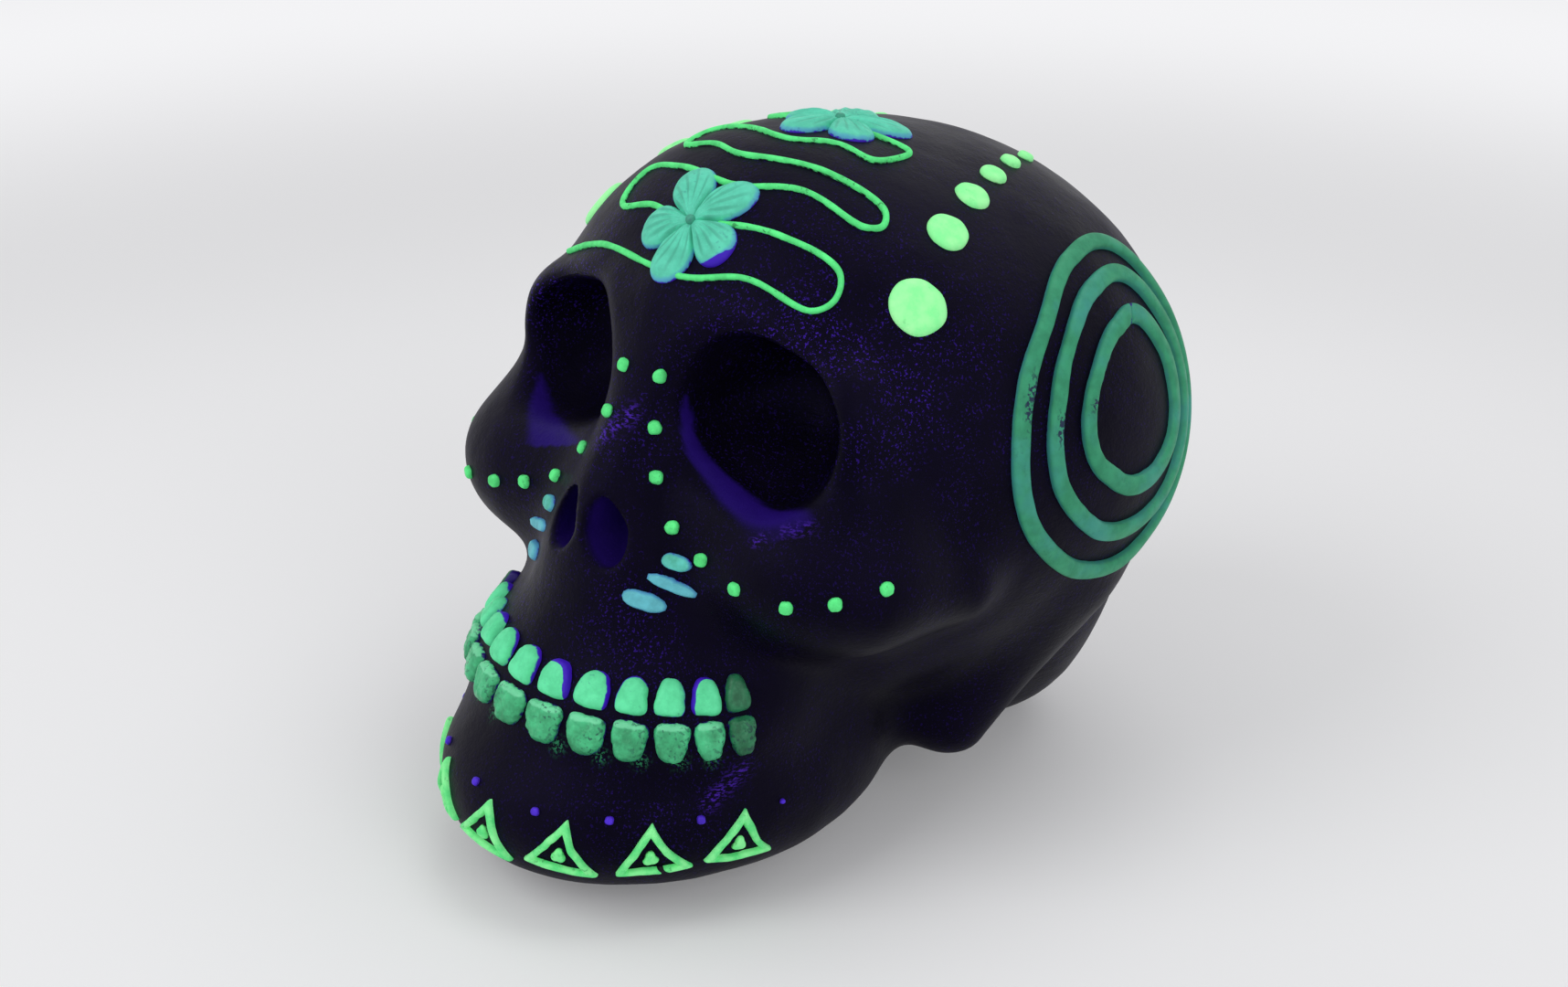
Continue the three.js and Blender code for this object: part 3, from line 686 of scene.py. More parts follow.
def paint_finish(name, tint, deep, rim, edge=None, edge_width=0.6, ragged=0.15, pits=0.4, glow=0.1, painted_shade=0.0,
                 stain=None, lip=None, rough=(0.62, 0.5)):
    """Hand-brushed paint on relief: mottled, pitted, ragged where the brush stopped, with optional painted
    shade, an optional painted highlight along a lip and a faint painted glow.
    """
    finish = Finish(name)
    edge_mm = finish.sum('DIVIDE', finish.attribute("edge"), MM)
    flutter = finish.sum('MULTIPLY', finish.sum('SUBTRACT', finish.cloud(900, 3), 0.5), 2 * ragged)
    from_edge = finish.sum('ADD', edge_mm, flutter)
    cover = finish.step(from_edge, -0.05, 0.06)
    mottle = finish.step(finish.cloud(360, 4, 0.6), 0.3, 0.7)
    coat = finish.mix(mottle, deep, tint)
    speckle = finish.step(finish.cloud(2600, 2), 0.56, 0.74)
    coat = finish.mix(finish.sum('MULTIPLY', speckle, 0.25), coat, shade(tint, 1.12))
    if stain is not None:
        drift = finish.step(finish.cloud(75, 4, 0.6), 0.46, 0.7)
        coat = finish.mix(finish.sum('MULTIPLY', drift, 0.6), coat, stain)
    # Painted shade: the paint darkens towards tooth roots and in the grooves between petal ridges.
    if painted_shade:
        painted_shade_share = finish.sum('MULTIPLY', finish.step(finish.attribute("painted_shade"), 0.2, 0.9), painted_shade)
        coat = finish.mix(painted_shade_share, coat, shade(deep, 0.55))
    # Painted highlight: a paler band along the lip of each lower tooth.
    if lip is not None:
        ragged_highlight = finish.sum('ADD', finish.attribute("lip"), finish.sum('MULTIPLY', flutter, 0.9))
        coat = finish.mix(finish.step(ragged_highlight, 0.3, 0.9, 0.0, 0.6), coat, lip)
    if edge is not None:
        coat = finish.mix(finish.step(from_edge, 0.0, edge_width, 0.8, 0.0), coat, edge)
    worn = finish.step(finish.cloud(170, 2), 0.53, 0.63)
    wear = finish.attribute("wear")
    spots = finish.sum('ADD', finish.cloud(1300, 2, 0.5), finish.sum('MULTIPLY', wear, 0.11))
    holes = finish.step(spots, 0.6, 0.66)
    eaten = finish.sum('MAXIMUM', finish.sum('MULTIPLY', worn, pits), wear)
    pitted = finish.sum('MULTIPLY', holes, eaten)
    coat = finish.mix(pitted, coat, between(shade(deep, 0.12), rim, 0.25))
    tint_all = finish.mix(cover, rim, coat)
    normal = finish.bump(finish.cloud(1500, 4, 0.6), 0.2, 0.00015)
    normal = finish.bump(pitted, 0.5, -0.0003, normal)
    normal = finish.bump(cover, 0.4, 0.0001, normal)
    # The emission gives the paint a faint painted glow, standing in for its fluorescence.
    finish.set(Base_Color=tint_all, Roughness=finish.step(mottle, 0, 1, *rough), Normal=normal,
               Specular_IOR_Level=0.3, Emission_Color=tint_all, Emission_Strength=glow)
    return finish.material


class SkullPiece:
    """What every piece's operator starts from."""

    bl_options = {'REGISTER', 'UNDO'}

    def tools(self, context):
        scene = context.scene
        return Skin(scene.skull_form), scene.skull_relief, scene.skull_colours


class SKULL_OT_casting(SkullPiece, bpy.types.Operator):
    """Cast the skin of both halves in one, with the eye sockets and nostrils"""

    bl_idname = "skull.casting"
    bl_label = "Cast the skin"

    lump_size = 0.011
    lump_strength = 0.0004
    longest_step = 0.0008
    crumb_depth = 0.92
    crumb_reach = 0.0011

    # Start, end and half width of each rubbed place, in mm.
    scuffs = (
        ((31.4, -63.4, 23.9), (33.6, -56.8, 28.6), 1.3), ((2.5, -53, 84.6), (-2.5, -56.1, 79.6), 1.5),
        ((36, -49.6, 72.6), (38.6, -47.6, 73.1), 1.3), ((32.2, -52.6, 70.1), (33.4, -51.8, 70.9), 0.9),
    )

    # Middle and reach in mm, and strength, of each patch of painted glint in the grain, where the lamp
    # catches the skin. They count for both sides.
    painted_glints = (
        ((30, -40, 98), 17, 0.9), ((46, -22, 92), 14, 0.6), ((0, -54, 82), 9, 0.5), ((14, -62, 50), 12, 0.45),
        ((26, -68, 27), 10, 0.3), ((20, 60, 84), 26, 0.35), ((52, 30, 40), 20, 0.25),
    )

    # By side, round the eye socket: angle in degrees, and depths in mm where the painted light starts and
    # ends. The violet is a painted pool of light on the lit lower wall; the rest of the socket keeps the
    # black of the skin.
    socket_painted_light = {
        1: ((-165, 3.0, 3.2), (-147, 2.8, 5.0), (-117, 1.9, 4.2), (-90, 0.9, 3.6), (-70, 0.6, 3.4),
            (-45, 0.4, 2.1), (-26, 0.2, 0.2)),
        -1: ((-124, 0.1, 0.1), (-99, 0.1, 1.3), (-83, 0.1, 2.6), (-72, 0.5, 3.6), (-50, 1.9, 4.4),
             (-36, 2.2, 3.6), (-21, 2.1, 2.2)),
    }

    def execute(self, context):
        skin, sizes, colours = self.tools(context)
        form = skin.form
        casting = new_ball("skull_casting", 160, 110)
        ball = points_of(casting)
        turn = np.arctan2(ball[:, 1], ball[:, 0])
        share = np.arccos(np.clip(ball[:, 2], -1, 1)) / math.pi
        # The ball's rings lie closer together at the face, whose form is finer.
        polar = math.pi * (0.62 * share + 0.38 * share * share)
        directions = np.stack(
            (np.sin(polar) * np.cos(turn), -np.cos(polar), np.sin(polar) * np.sin(turn)), axis=1)
        set_points(casting, skin.walk_out(np.array(form.cast_heart) + skin.shift, directions))
        for socket in skin.sockets:
            cut = new_ball("socket", 96, 64)
            set_points(cut, socket.cutter(points_of(cut)))
            use_modifier(casting, 'BOOLEAN', operation='DIFFERENCE', solver='MANIFOLD', object=cut)
            bpy.data.objects.remove(cut)
        use_modifier(casting, 'REMESH', mode='VOXEL', voxel_size=form.skin_cell, adaptivity=0)
        use_modifier(casting, 'SMOOTH', factor=0.5, iterations=8)
        self.settle(skin, casting)
        lumps = lump_texture("casting_lumps", self.lump_size)
        use_modifier(casting, 'DISPLACE', texture=lumps, texture_coords='LOCAL', mid_level=0.5,
                     strength=self.lump_strength)
        edit_all(casting)
        bpy.ops.mesh.bisect(
            plane_co=(0, 0, 0), plane_no=(0, 0, 1), use_fill=True, clear_inner=True, threshold=1e-6)
        bpy.ops.object.mode_set(mode='OBJECT')
        points = points_of(casting)
        points[:, 2] = np.maximum(points[:, 2], 0)
        set_points(casting, points)
        # The violet mark is painted light in the eye sockets and violet paint in the nostrils.
        mark(casting, "violet", self.violet(skin, points))
        mark(casting, "scuff", self.scuffed(skin, points))
        # How much painted violet glint the grain shows at each point.
        mark(casting, "painted_glint", self.painted_glint_share(skin, points))
        mark(casting, "crumb", self.crumbs(skin, sizes, points))
        close_piece(casting, casting_finish(colours), ("face_shell", "back_shell"))
        self.flatten_base(casting)
        return {'FINISHED'}

    def flatten_base(self, casting):
        """Shades the cut that the skull stands on as one flat."""
        for face in casting.data.polygons:
            if face.normal.z < -0.99 and face.center.z < LAP / 10:
                face.use_smooth = False

    def settle(self, skin, casting):
        """Draws the mesh onto the carved skin, which rounds the rims of the sockets."""
        points = points_of(casting)
        skin.surface = skin.carved
        for _ in range(2):
            outward = skin.normals(points)
            for _ in range(3):
                off = skin.carved(points) + skin.form.skin_inset
                points -= outward * np.clip(off, -self.longest_step, self.longest_step)[:, None]
        skin.surface = skin.depth
        set_points(casting, points)

    def violet(self, skin, points):
        """Where violet lies: a painted pool of light on the lit wall low in each eye socket, and violet paint
        in the nostrils.
        """
        below = -skin.depth(points) / MM
        painted = np.zeros(len(points))
        for orbit, nostril in zip(skin.sockets[::2], skin.sockets[1::2]):
            share = orbit.share(points)
            turn = np.degrees(np.arctan2(share[:, 2], orbit.sign * share[:, 0]))
            turns, starts, ends = np.array(self.socket_painted_light[orbit.sign]).T
            start, end = np.interp(turn, turns, starts), np.interp(turn, turns, ends)
            within = (np.abs(orbit.depth(points)) < 0.004) & (turn > turns[0]) & (turn < turns[-1])
            band_start, band_end = fade(below, start - 0.3, start + 0.3), fade(below, end - 0.4, end + 0.3)
            painted += within * band_start * (1 - band_end)
            painted += 0.6 * (np.abs(nostril.depth(points)) < 0.0012) * fade(below, 0.6, 2.2)
        return np.clip(painted, 0, 1)

    def scuffed(self, skin, points):
        """Where the black is rubbed to violet."""
        own = (points - skin.shift) / MM
        rubbed = np.zeros(len(points))
        for start, end, width in self.scuffs:
            start, run = np.array(start), np.array(end) - np.array(start)
            along = np.clip((own - start) @ run / (run @ run), 0, 1)
            away = np.linalg.norm(own - start - along[:, None] * run, axis=1)
            rubbed += np.exp(-(away / width) ** 2)
        return np.clip(rubbed, 0, 1)

    def painted_glint_share(self, skin, points):
        """Where the grain shows painted violet glint, standing in for the lamp catching it: most on the brow,
        temple, nose bridge, lip and chin.
        """
        own = (points - skin.shift) / MM
        own[:, 0] = np.abs(own[:, 0])
        caught = np.full(len(own), 0.16)
        for place, reach, strength in self.painted_glints:
            caught += strength * np.exp(-(np.linalg.norm(own - place, axis=1) / reach) ** 2)
        return np.clip(caught, 0, 1)

    def crumbs(self, skin, sizes, points):
        """Where crumbs of paint have gathered between the roots of the lower teeth."""
        roots = np.cumsum([w + sizes.tooth_gap for w in sizes.lower_tooth_widths])[:-1]
        bite = skin.form.tooth_bulge_centre[2] + sizes.bite_rise
        stops = skin.level_line(bite - self.crumb_depth * sizes.lower_tooth_height, roots)
        gathered = np.zeros(len(points))
        for stop in stops:
            for _, sign in SIDES:
                away = np.linalg.norm(points - stop * (sign, 1, 1), axis=1)
                gathered += np.exp(-(away / self.crumb_reach) ** 2)
        return np.clip(gathered, 0, 1)


class SKULL_OT_teeth(SkullPiece, bpy.types.Operator):
    """Lay both rows of teeth along the bite line"""

    bl_idname = "skull.teeth"
    bl_label = "Lay the teeth"

    most_lean = 4
    tapers = {1: 0.16, -1: 0.13}
    upper_breadth = 0.94
    lump_sizes = (0.0022, 0.0007)
    lump_strengths = {1: (0.0002, 0.0001), -1: (0.0006, 0.00026)}

    # By side, how far the brush strayed across and along each upper tooth, in mm.
    upper_missed = {
        1: ((-0.5, -0.85), (-0.3, -0.15), (0.2, -0.4), (0.0, -0.05), (0.5, -0.65), (0.0, 0.0)),
        -1: ((-0.1, -0.1), (0.0, -0.1), (0.3, -0.45), (0.0, 0.0), (0.3, -0.2), (-0.2, -0.5)),
    }

    def execute(self, context):
        skin, sizes, colours = self.tools(context)
        upper = paint_finish("upper_tooth_paint", colours.tooth_upper,
                             between(colours.tooth_upper, colours.tooth_lower, 0.6), colours.rim,
                             ragged=0.2, pits=0.3, glow=0.12, painted_shade=0.16)
        # The lower teeth carry a painted highlight along their lip.
        lower = paint_finish("lower_tooth_paint", colours.tooth_lower, shade(colours.tooth_lower, 0.5),
                             shade(colours.rim, 0.3), ragged=0.3, pits=0.7, glow=0.08, painted_shade=0.4,
                             stain=between(colours.tooth_lower, colours.tooth_upper, 0.45),
                             lip=between(colours.tooth_upper, WHITE, 0.12), rough=(0.5, 0.3))
        # Painted shade: a darker copy of the lower paint for the last tooth of each row, where the cheek
        # shades it.
        thin = paint_finish("shaded_back_tooth_paint", shade(colours.tooth_lower, 0.45),
                            shade(colours.tooth_lower, 0.2), shade(colours.rim, 0.3), ragged=0.3, pits=0.7,
                            glow=0.04, painted_shade=0.3, rough=(0.5, 0.3))
        self.lumps = [lump_texture(name, size)
                      for name, size in zip(("tooth_lumps", "tooth_chips"), self.lump_sizes)]
        rows = (
            ("upper", sizes.upper_tooth_widths, sizes.upper_tooth_height, 1, upper),
            ("lower", sizes.lower_tooth_widths, sizes.lower_tooth_height, -1, lower),
        )
        for row, widths, height, sense, paint_coat in rows:
            edges = np.cumsum([sizes.tooth_gap / 2] + [w + sizes.tooth_gap for w in widths])
            middles = edges[:-1] + np.array(widths) / 2
            bite = skin.form.tooth_bulge_centre[2] + sizes.bite_rise
            stops = skin.level_line(bite, middles)
            for i, stop in enumerate(stops):
                for side, sign in SIDES:
                    brush = MM * np.array(self.upper_missed[sign][i]) if sense > 0 else (0, 0)
                    self.tooth(skin, sizes, f"{row}_tooth_{side}_{i + 1}", stop * (sign, 1, 1),
                               widths[i], height, sense, brush, 50 + 10 * i + sign + 3 * sense,
                               thin if i == len(stops) - 1 else paint_coat)
        return {'FINISHED'}

    def tooth(self, skin, sizes, node, stop, width, height, sense, brush, seed, paint_coat):
        """One tooth beside the bite line, above it where sense is 1 and below it where sense is -1."""
        chance = np.random.default_rng(seed + 40)
        point, _, along, _ = skin.place(stop, UP)
        centre = skin.place(point + sense * (height + sizes.bite_gap) / 2 * along, UP)
        lean = math.radians(chance.uniform(-self.most_lean, self.most_lean))
        taper = self.tapers[sense]
        breadth = self.upper_breadth * width if sense > 0 else width + sizes.tooth_gap

        def outline(turn):
            to_bite = -sense * np.sin(turn + lean)
            power = 3.5 + 0.9 * np.tanh(3 * to_bite)
            c = np.abs(np.cos(turn + lean)) / (breadth / 2 * (1 - taper + taper * to_bite))
            s = np.abs(np.sin(turn + lean)) / (height / 2)
            return (c ** power + s ** power) ** (-1 / power) + hand(turn, seed, 0.00012)

        def crown(share, turn, reach):
            dome = np.maximum(1 - share ** 5, 0) ** 0.5
            bulge = 1 + 0.14 * sense * np.sin(turn) * share * (1 - share ** 2)
            ridge = 0.035 * np.cos(2.6e3 * reach * np.cos(turn) + seed) * (1 - share) * share
            lip = 0.08 * fade(reach * np.sin(turn), 0.32 * height, 0.42 * height) if sense < 0 else 0
            return dome * (0.9 * bulge + ridge + lip)

        piece = pad(skin, node + "_enamel", centre, outline, 0.8 * sizes.tooth_thickness,
                    segments=72, rings=48, brush=brush, cover=0.985, crown=crown)
        for lumps, strength in zip(self.lumps, self.lump_strengths[sense]):
            use_modifier(piece, 'DISPLACE', texture=lumps, texture_coords='LOCAL', mid_level=0.5,
                         strength=strength)
        flat = skin.flatten(centre, points_of(piece))
        # Painted shade: darker towards the root of the tooth.
        mark(piece, "painted_shade", np.clip(0.3 + sense * flat[:, 1] / height, 0, 1))
        if sense < 0:
            mark(piece, "wear", np.clip(0.12 + chance.choice((-1, 1)) * flat[:, 0] / width, 0, 0.6))
            # Painted highlight: paler along the top edge, the lip, of each lower tooth.
            mark(piece, "lip", fade(flat[:, 1] / height, 0.37, 0.5))
        close_piece(piece, paint_coat, (node,))


def swell(turn, sign, middle, reach):
    """A soft swell round a ring, 1 at its middle, with angles in degrees from the back of the left side."""
    own = np.degrees(turn) if sign > 0 else 180 - np.degrees(turn)
    off = (own - middle + 180) % 360 - 180
    return np.cos(np.clip(off / reach, -1, 1) * math.pi / 2) ** 2


class SKULL_OT_rings(SkullPiece, bpy.types.Operator):
    """Lay three concentric bands on each side of the cranium"""

    bl_idname = "skull.rings"
    bl_label = "Lay the rings"

    # Where the hand strayed, as middle and reach in degrees round a ring. How far each ring is drawn in
    # comes first, over the outer one.
    drawn_in = ((1.0, 118, 52), (0.95, 120, 58), (1.32, 112, 70))
    sag = (196, 40)
    crest = (60, 30)

    # How much of a band's width is lost: at each ring's front, at the foot, and where it is drawn in.
    thin_front = (0.0, 0.16, 0.2)
    thin_foot = 0.2
    thin_drawn = 1.4

    # Middle and reach of each ring's pits above its front, in radians.
    pitted = ((0.34, 0.17), (0.08, 0.13), (0.2, 0.1))
    pit_strength = 1.5

    crack_turn = 1.22
    crack_slant = 0.07
    crack_reach = 0.016
    crack_depth = 0.8

    def execute(self, context):
        skin, sizes, colours = self.tools(context)
        coat = paint_finish("ring_paint", colours.ring, shade(colours.ring, 0.76),
                            between(colours.casting, colours.rim, 0.4),
                            edge=between(colours.ring, colours.rim, 0.3), edge_width=0.35, ragged=0.14,
                            pits=0.15, glow=0.05, stain=between(colours.ring, colours.flower_edge, 0.3))
        for side, sign in SIDES:
            place = skin.place(skin.aim(sign * sizes.ring_side, sizes.ring_rise), UP)
            for i, ring in enumerate(("outer", "middle", "inner")):
                radius = sizes.ring_radius - i * (sizes.ring_width + sizes.ring_space)
                seed = 100 + 10 * i + sign

                def stretch(turn):
                    lean = turn + sign * sizes.ring_lean
                    return np.hypot(sizes.ring_narrow * np.cos(lean), np.sin(lean))

                def drawn_in(turn):
                    more, middle, reach = self.drawn_in[i]
                    return more * sizes.ring_slump[0] * swell(turn, sign, middle, reach)

                def outline(turn):
                    sag = sizes.ring_slump[1] * swell(turn, sign, *self.sag)
                    crest = sizes.ring_slump[2] * swell(turn, sign, *self.crest)
                    slump = drawn_in(turn) - sag - crest
                    uneven = hand(turn, seed, 0.00025) + hand(6 * turn, seed + 1, 0.00004)
                    return radius * (stretch(turn) - slump) + uneven

                def width(turn):
                    uneven = hand(turn, seed + 2, 0.0002) + hand(5 * turn, seed + 3, 0.00006)
                    front, foot = np.maximum(-sign * np.cos(turn), 0), np.maximum(-np.sin(turn), 0)
                    thin = self.thin_front[i] * front + self.thin_foot * foot
                    thin = thin + self.thin_drawn * drawn_in(turn)
                    return sizes.ring_width * stretch(turn) * (1 - thin) + uneven

                def wear(turn, across):
                    """Pits that the brush left in the front of the bands, towards the inner edge."""
                    above_front = math.pi - turn if sign > 0 else turn
                    above_front = (above_front + math.pi) % (2 * math.pi) - math.pi
                    middle, reach = self.pitted[i]
                    pits = self.pit_strength * np.exp(-((above_front - middle) / reach) ** 2)
                    return pits * np.clip(0.7 - across, 0, 1)

                def crack(turn, across):
                    """A hair crack over the top of the inner left band."""
                    if ring != "inner" or sign < 0:
                        return 0 * turn
                    away = turn - self.crack_turn + self.crack_slant * across
                    return self.crack_depth * np.exp(-(away / self.crack_reach) ** 2)

                piece = band(skin, f"{ring}_ring_{side}_band", place, outline, width, sizes.relief_height,
                             crack, 300, wear=wear)
                close_piece(piece, coat, (f"{ring}_ring_{side}",))
        return {'FINISHED'}


def flower_outline(sizes, turn, heading, blunt=0.62):
    """Reach of a flower's petals round its heart."""
    wave = np.abs(np.cos(2.5 * (turn - heading)))
    return sizes.petal_length * (sizes.petal_notch + (1 - sizes.petal_notch) * wave ** blunt)


def flower_places(skin, sizes):
    """Each flower's node, its place on the skin and the heading of its first petal."""
    start = -math.pi / 2
    return (
        ("forehead_flower", skin.place(skin.aim(0.0, sizes.forehead_flower_rise), BACK), start),
        ("crown_flower", skin.place(skin.aim(0.0, sizes.crown_flower_rise), BACK),
         start + sizes.crown_flower_turn),
    )


class SKULL_OT_flowers(SkullPiece, bpy.types.Operator):
    """Lay the two five-petalled flowers on the forehead and the crown"""

    bl_idname = "skull.flowers"
    bl_label = "Lay the flowers"

    # Petal by petal, from the one that points at the face: how much longer it is, and how blunt its tip is.
    longer = np.array((-0.02, -0.13, 0.07, 0.1, -0.09))
    blunt = np.array((0.78, 0.55, 0.86, 0.6, 0.52))

    petal_sink = 0.00008
    ridge_depth = 0.085
    missed_petal = 1
    missed_from, missed_to = 0.0086, 0.0112
    missed_depth = 0.0042

    def execute(self, context):
        skin, sizes, colours = self.tools(context)
        coat = paint_finish("flower_paint", colours.flower, shade(colours.flower, 0.8), colours.rim,
                            edge=colours.flower_edge, edge_width=0.9, ragged=0.3, pits=0.25, glow=0.09,
                            painted_shade=0.45)
        heart_coat = paint_finish("flower_heart_paint", shade(colours.flower, 0.55),
                                  shade(colours.flower, 0.4), colours.rim, ragged=0.1, pits=0.2, glow=0.05)
        for seed, (node, place, heading) in enumerate(flower_places(skin, sizes)):

            def petal_of(turn):
                """Which petal a direction lies in, and its angle off that petal's middle."""
                number = np.round((turn - heading) / (2 * math.pi / 5))
                return number.astype(int) % 5, turn - heading - number * 2 * math.pi / 5

            def outline(turn):
                petal, within = petal_of(turn)
                uneven = 1 + self.longer[petal] * np.abs(np.cos(2.5 * within))
                reach = flower_outline(sizes, turn, heading, self.blunt[petal])
                return reach * uneven + hand(turn, seed, 0.0002)

            def ridges(share, turn):
                petal, within = petal_of(turn)
                spread = np.sin(math.pi * np.clip((share - 0.12) / 0.86, 0, 1))
                return np.cos((24 + petal) * within + 0.4 * np.sin(9 * share + petal)) * spread

            def crown(share, turn, reach):
                _, within = petal_of(turn)
                wave = 1 - (1 - np.abs(np.cos(2.5 * within))) * fade(share, 0.06, 0.4)
                dome = np.maximum(1 - share ** 6, 0) ** 0.5
                cup = 0.56 + 0.3 * wave ** 0.7 + 0.08 * share
                crease = 0.1 * np.exp(-(within / 0.05) ** 2) * np.clip(share - 0.15, 0, 1)
                valley = 0.38 * np.exp(-((np.abs(within) - math.pi / 5) * share / 0.045) ** 2) * share
                moat = 0.3 * np.exp(-(reach / (1.1 * sizes.flower_button)) ** 2)
                relief = dome * (cup + self.ridge_depth * ridges(share, turn) - crease - valley - moat)
                return np.where(share >= 1, 0, relief)

            def bare(turn, reach):
                """The tip of one petal of the lower flower, which the brush has missed."""
                petal, within = petal_of(turn)
                outer = fade(reach, self.missed_from, self.missed_to)
                missed = self.missed_depth * outer * fade(-within, -0.2, 0.25)
                return np.where((petal == self.missed_petal) & (seed == 0), missed, 0)

            piece = pad(skin, node + "_petals", place, outline, sizes.petal_thickness - self.petal_sink,
                        segments=240, rings=90, cover=0.99, crown=crown, bare=bare)
            flat = skin.flatten(place, points_of(piece))
            turn = np.arctan2(flat[:, 1], flat[:, 0])
            share = np.hypot(flat[:, 0], flat[:, 1]) / outline(turn)
            # Painted shade in the grooves between the petals' ridges.
            mark(piece, "painted_shade", np.clip(-ridges(np.clip(share, 0, 1), turn), 0, 1))
            close_piece(piece, coat, (node,))

            def button_outline(turn):
                return 0.72 * sizes.flower_button * (1 + hand(turn, seed + 20, 0.05))

            button = pad(skin, node + "_button", place, button_outline, 0.92 * sizes.petal_thickness, 28, 20)
            close_piece(button, heart_coat)
        return {'FINISHED'}


class SKULL_OT_scroll(SkullPiece, bpy.types.Operator):
    """Squeeze the scroll line that winds up the forehead between the flowers"""

    bl_idname = "skull.scroll"
    bl_label = "Squeeze the scroll"

    # In petal lengths: how far the line's passes lie behind each flower, how far its turns reach to the left
    # and right, how far the turns lift, and where the line starts.
    forehead_passes = (-0.76, -0.01, 0.69, 1.21)
    crown_passes = (-1.17, -0.31, 0.38)
    turns = (2.5, -1.9, 2.22, -1.56, 1.38, -1.37)
    left_lift, right_lift = 0.42, 0.16
    start_side, start_lift = -3.1, 0.35

    # Length of a step along the line, and in steps: the shortest run kept and what is tucked under a petal.
    step = 0.0003
    shortest_run = 8
    tuck = 5

    petal_overlap = 0.0006
    line_rise = 0.42
    line_keel = 0.0004
    waver = 0.1

    def route(self, skin, sizes):
        """Turning points of the line, as side and rise angles, laid out in petal lengths."""
        passes = []
        for rise, ratios in ((sizes.forehead_flower_rise, self.forehead_passes),
                             (sizes.crown_flower_rise, self.crown_passes)):
            point = skin.from_heart(np.atleast_2d(skin.aim(0.0, rise)))[0]
            petal = sizes.petal_length / np.linalg.norm(point - skin.heart)
            passes += [(rise + ratio * petal, petal) for ratio in ratios]
        rise, petal = passes[0]
        side = self.start_side * petal
        start = rise + self.start_lift * petal
        route = [(side, start), (0.6 * side, start - 0.06 * petal)]
        for i, ratio in enumerate(self.turns):
            low, petal = passes[i]
            high = passes[i + 1][0]
            reach = ratio * petal
            lift = petal * (self.left_lift if ratio > 0 else self.right_lift)
            route += [
                (0.1 * reach, low), (0.5 * reach, low + 0.9 * lift), (0.93 * reach, low + 1.15 * lift),
                (reach, (low + high) / 2 + 1.05 * lift), (0.92 * reach, high + lift),
                (0.5 * reach, high + 0.8 * lift),
            ]
        return np.array(route)

    def smooth_route(self, route):
        """A centripetal curve through the turning points."""
        ends = np.concatenate(([2 * route[0] - route[1]], route, [2 * route[-1] - route[-2]]))
        t = np.linspace(0, 1, 40, endpoint=False)[:, None]
        pieces = []
        for a, b, c, d in zip(ends, ends[1:], ends[2:], ends[3:]):
            ab, bc, cd = (math.sqrt(np.linalg.norm(q - p)) for p, q in ((a, b), (b, c), (c, d)))
            into = bc * ((b - a) / ab - (c - a) / (ab + bc) + (c - b) / bc)
            out = bc * ((c - b) / bc - (d - b) / (bc + cd) + (d - c) / cd)
            pieces.append(b + into * t + (3 * (c - b) - 2 * into - out) * t ** 2
                          + (2 * (b - c) + into + out) * t ** 3)
        return np.concatenate(pieces)

    def execute(self, context):
        skin, sizes, colours = self.tools(context)
        coat = paint_finish("scroll_paint", colours.line, shade(colours.line, 0.72), colours.casting,
                            ragged=0.2, pits=0.6, glow=0.16)
        angles = self.smooth_route(self.route(skin, sizes))
        line = skin.from_heart(skin.aim(angles[:, 0], angles[:, 1]))
        walked = np.concatenate(([0], np.cumsum(np.linalg.norm(np.diff(line, axis=0), axis=1))))
        steps = np.arange(0, walked[-1], self.step)
        line = np.stack([np.interp(steps, walked, line[:, k]) for k in range(3)], axis=1)
        line = skin.from_heart(line)
        shown = np.ones(len(line), dtype=bool)
        for _, place, heading in flower_places(skin, sizes):
            flat = skin.flatten(place, line)
            near = np.linalg.norm(line - place[0], axis=1) < 2 * sizes.petal_length
            reach = flower_outline(sizes, np.arctan2(flat[:, 1], flat[:, 0]), heading)
            shown &= ~(near & (np.hypot(flat[:, 0], flat[:, 1]) < reach - self.petal_overlap))
        edges = np.flatnonzero(np.diff(np.concatenate(([0], shown.astype(int), [0]))))
        runs = [line[max(a - self.tuck, 0):b + self.tuck]
                for a, b in zip(edges[::2], edges[1::2]) if b - a > self.shortest_run]
        nodes = [f"scroll_line_{i}" for i in range(1, 7)]
        middles = {node: (np.array(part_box(node)[0]) + np.array(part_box(node)[1])) / 2 for node in nodes}
        found = {}
        for run in runs:
            middle = (run.min(axis=0) + run.max(axis=0)) / 2
            node = min(nodes, key=lambda n: np.linalg.norm(middles[n] - middle))
            found.setdefault(node, []).append(run)
        if len(found) != len(nodes):
            raise RuntimeError("the scroll's lengths don't match their solids")
        for node, lines in found.items():
            beads = [self.squeeze(skin, sizes, f"{node}_bead", run, i) for i, run in enumerate(lines)]
            clear_selection()
            for bead in beads:
                bead.select_set(True)
            bpy.context.view_layer.objects.active = beads[0]
            if len(beads) > 1:
                bpy.ops.object.join()
            close_piece(beads[0], coat, (node,))
        return {'FINISHED'}

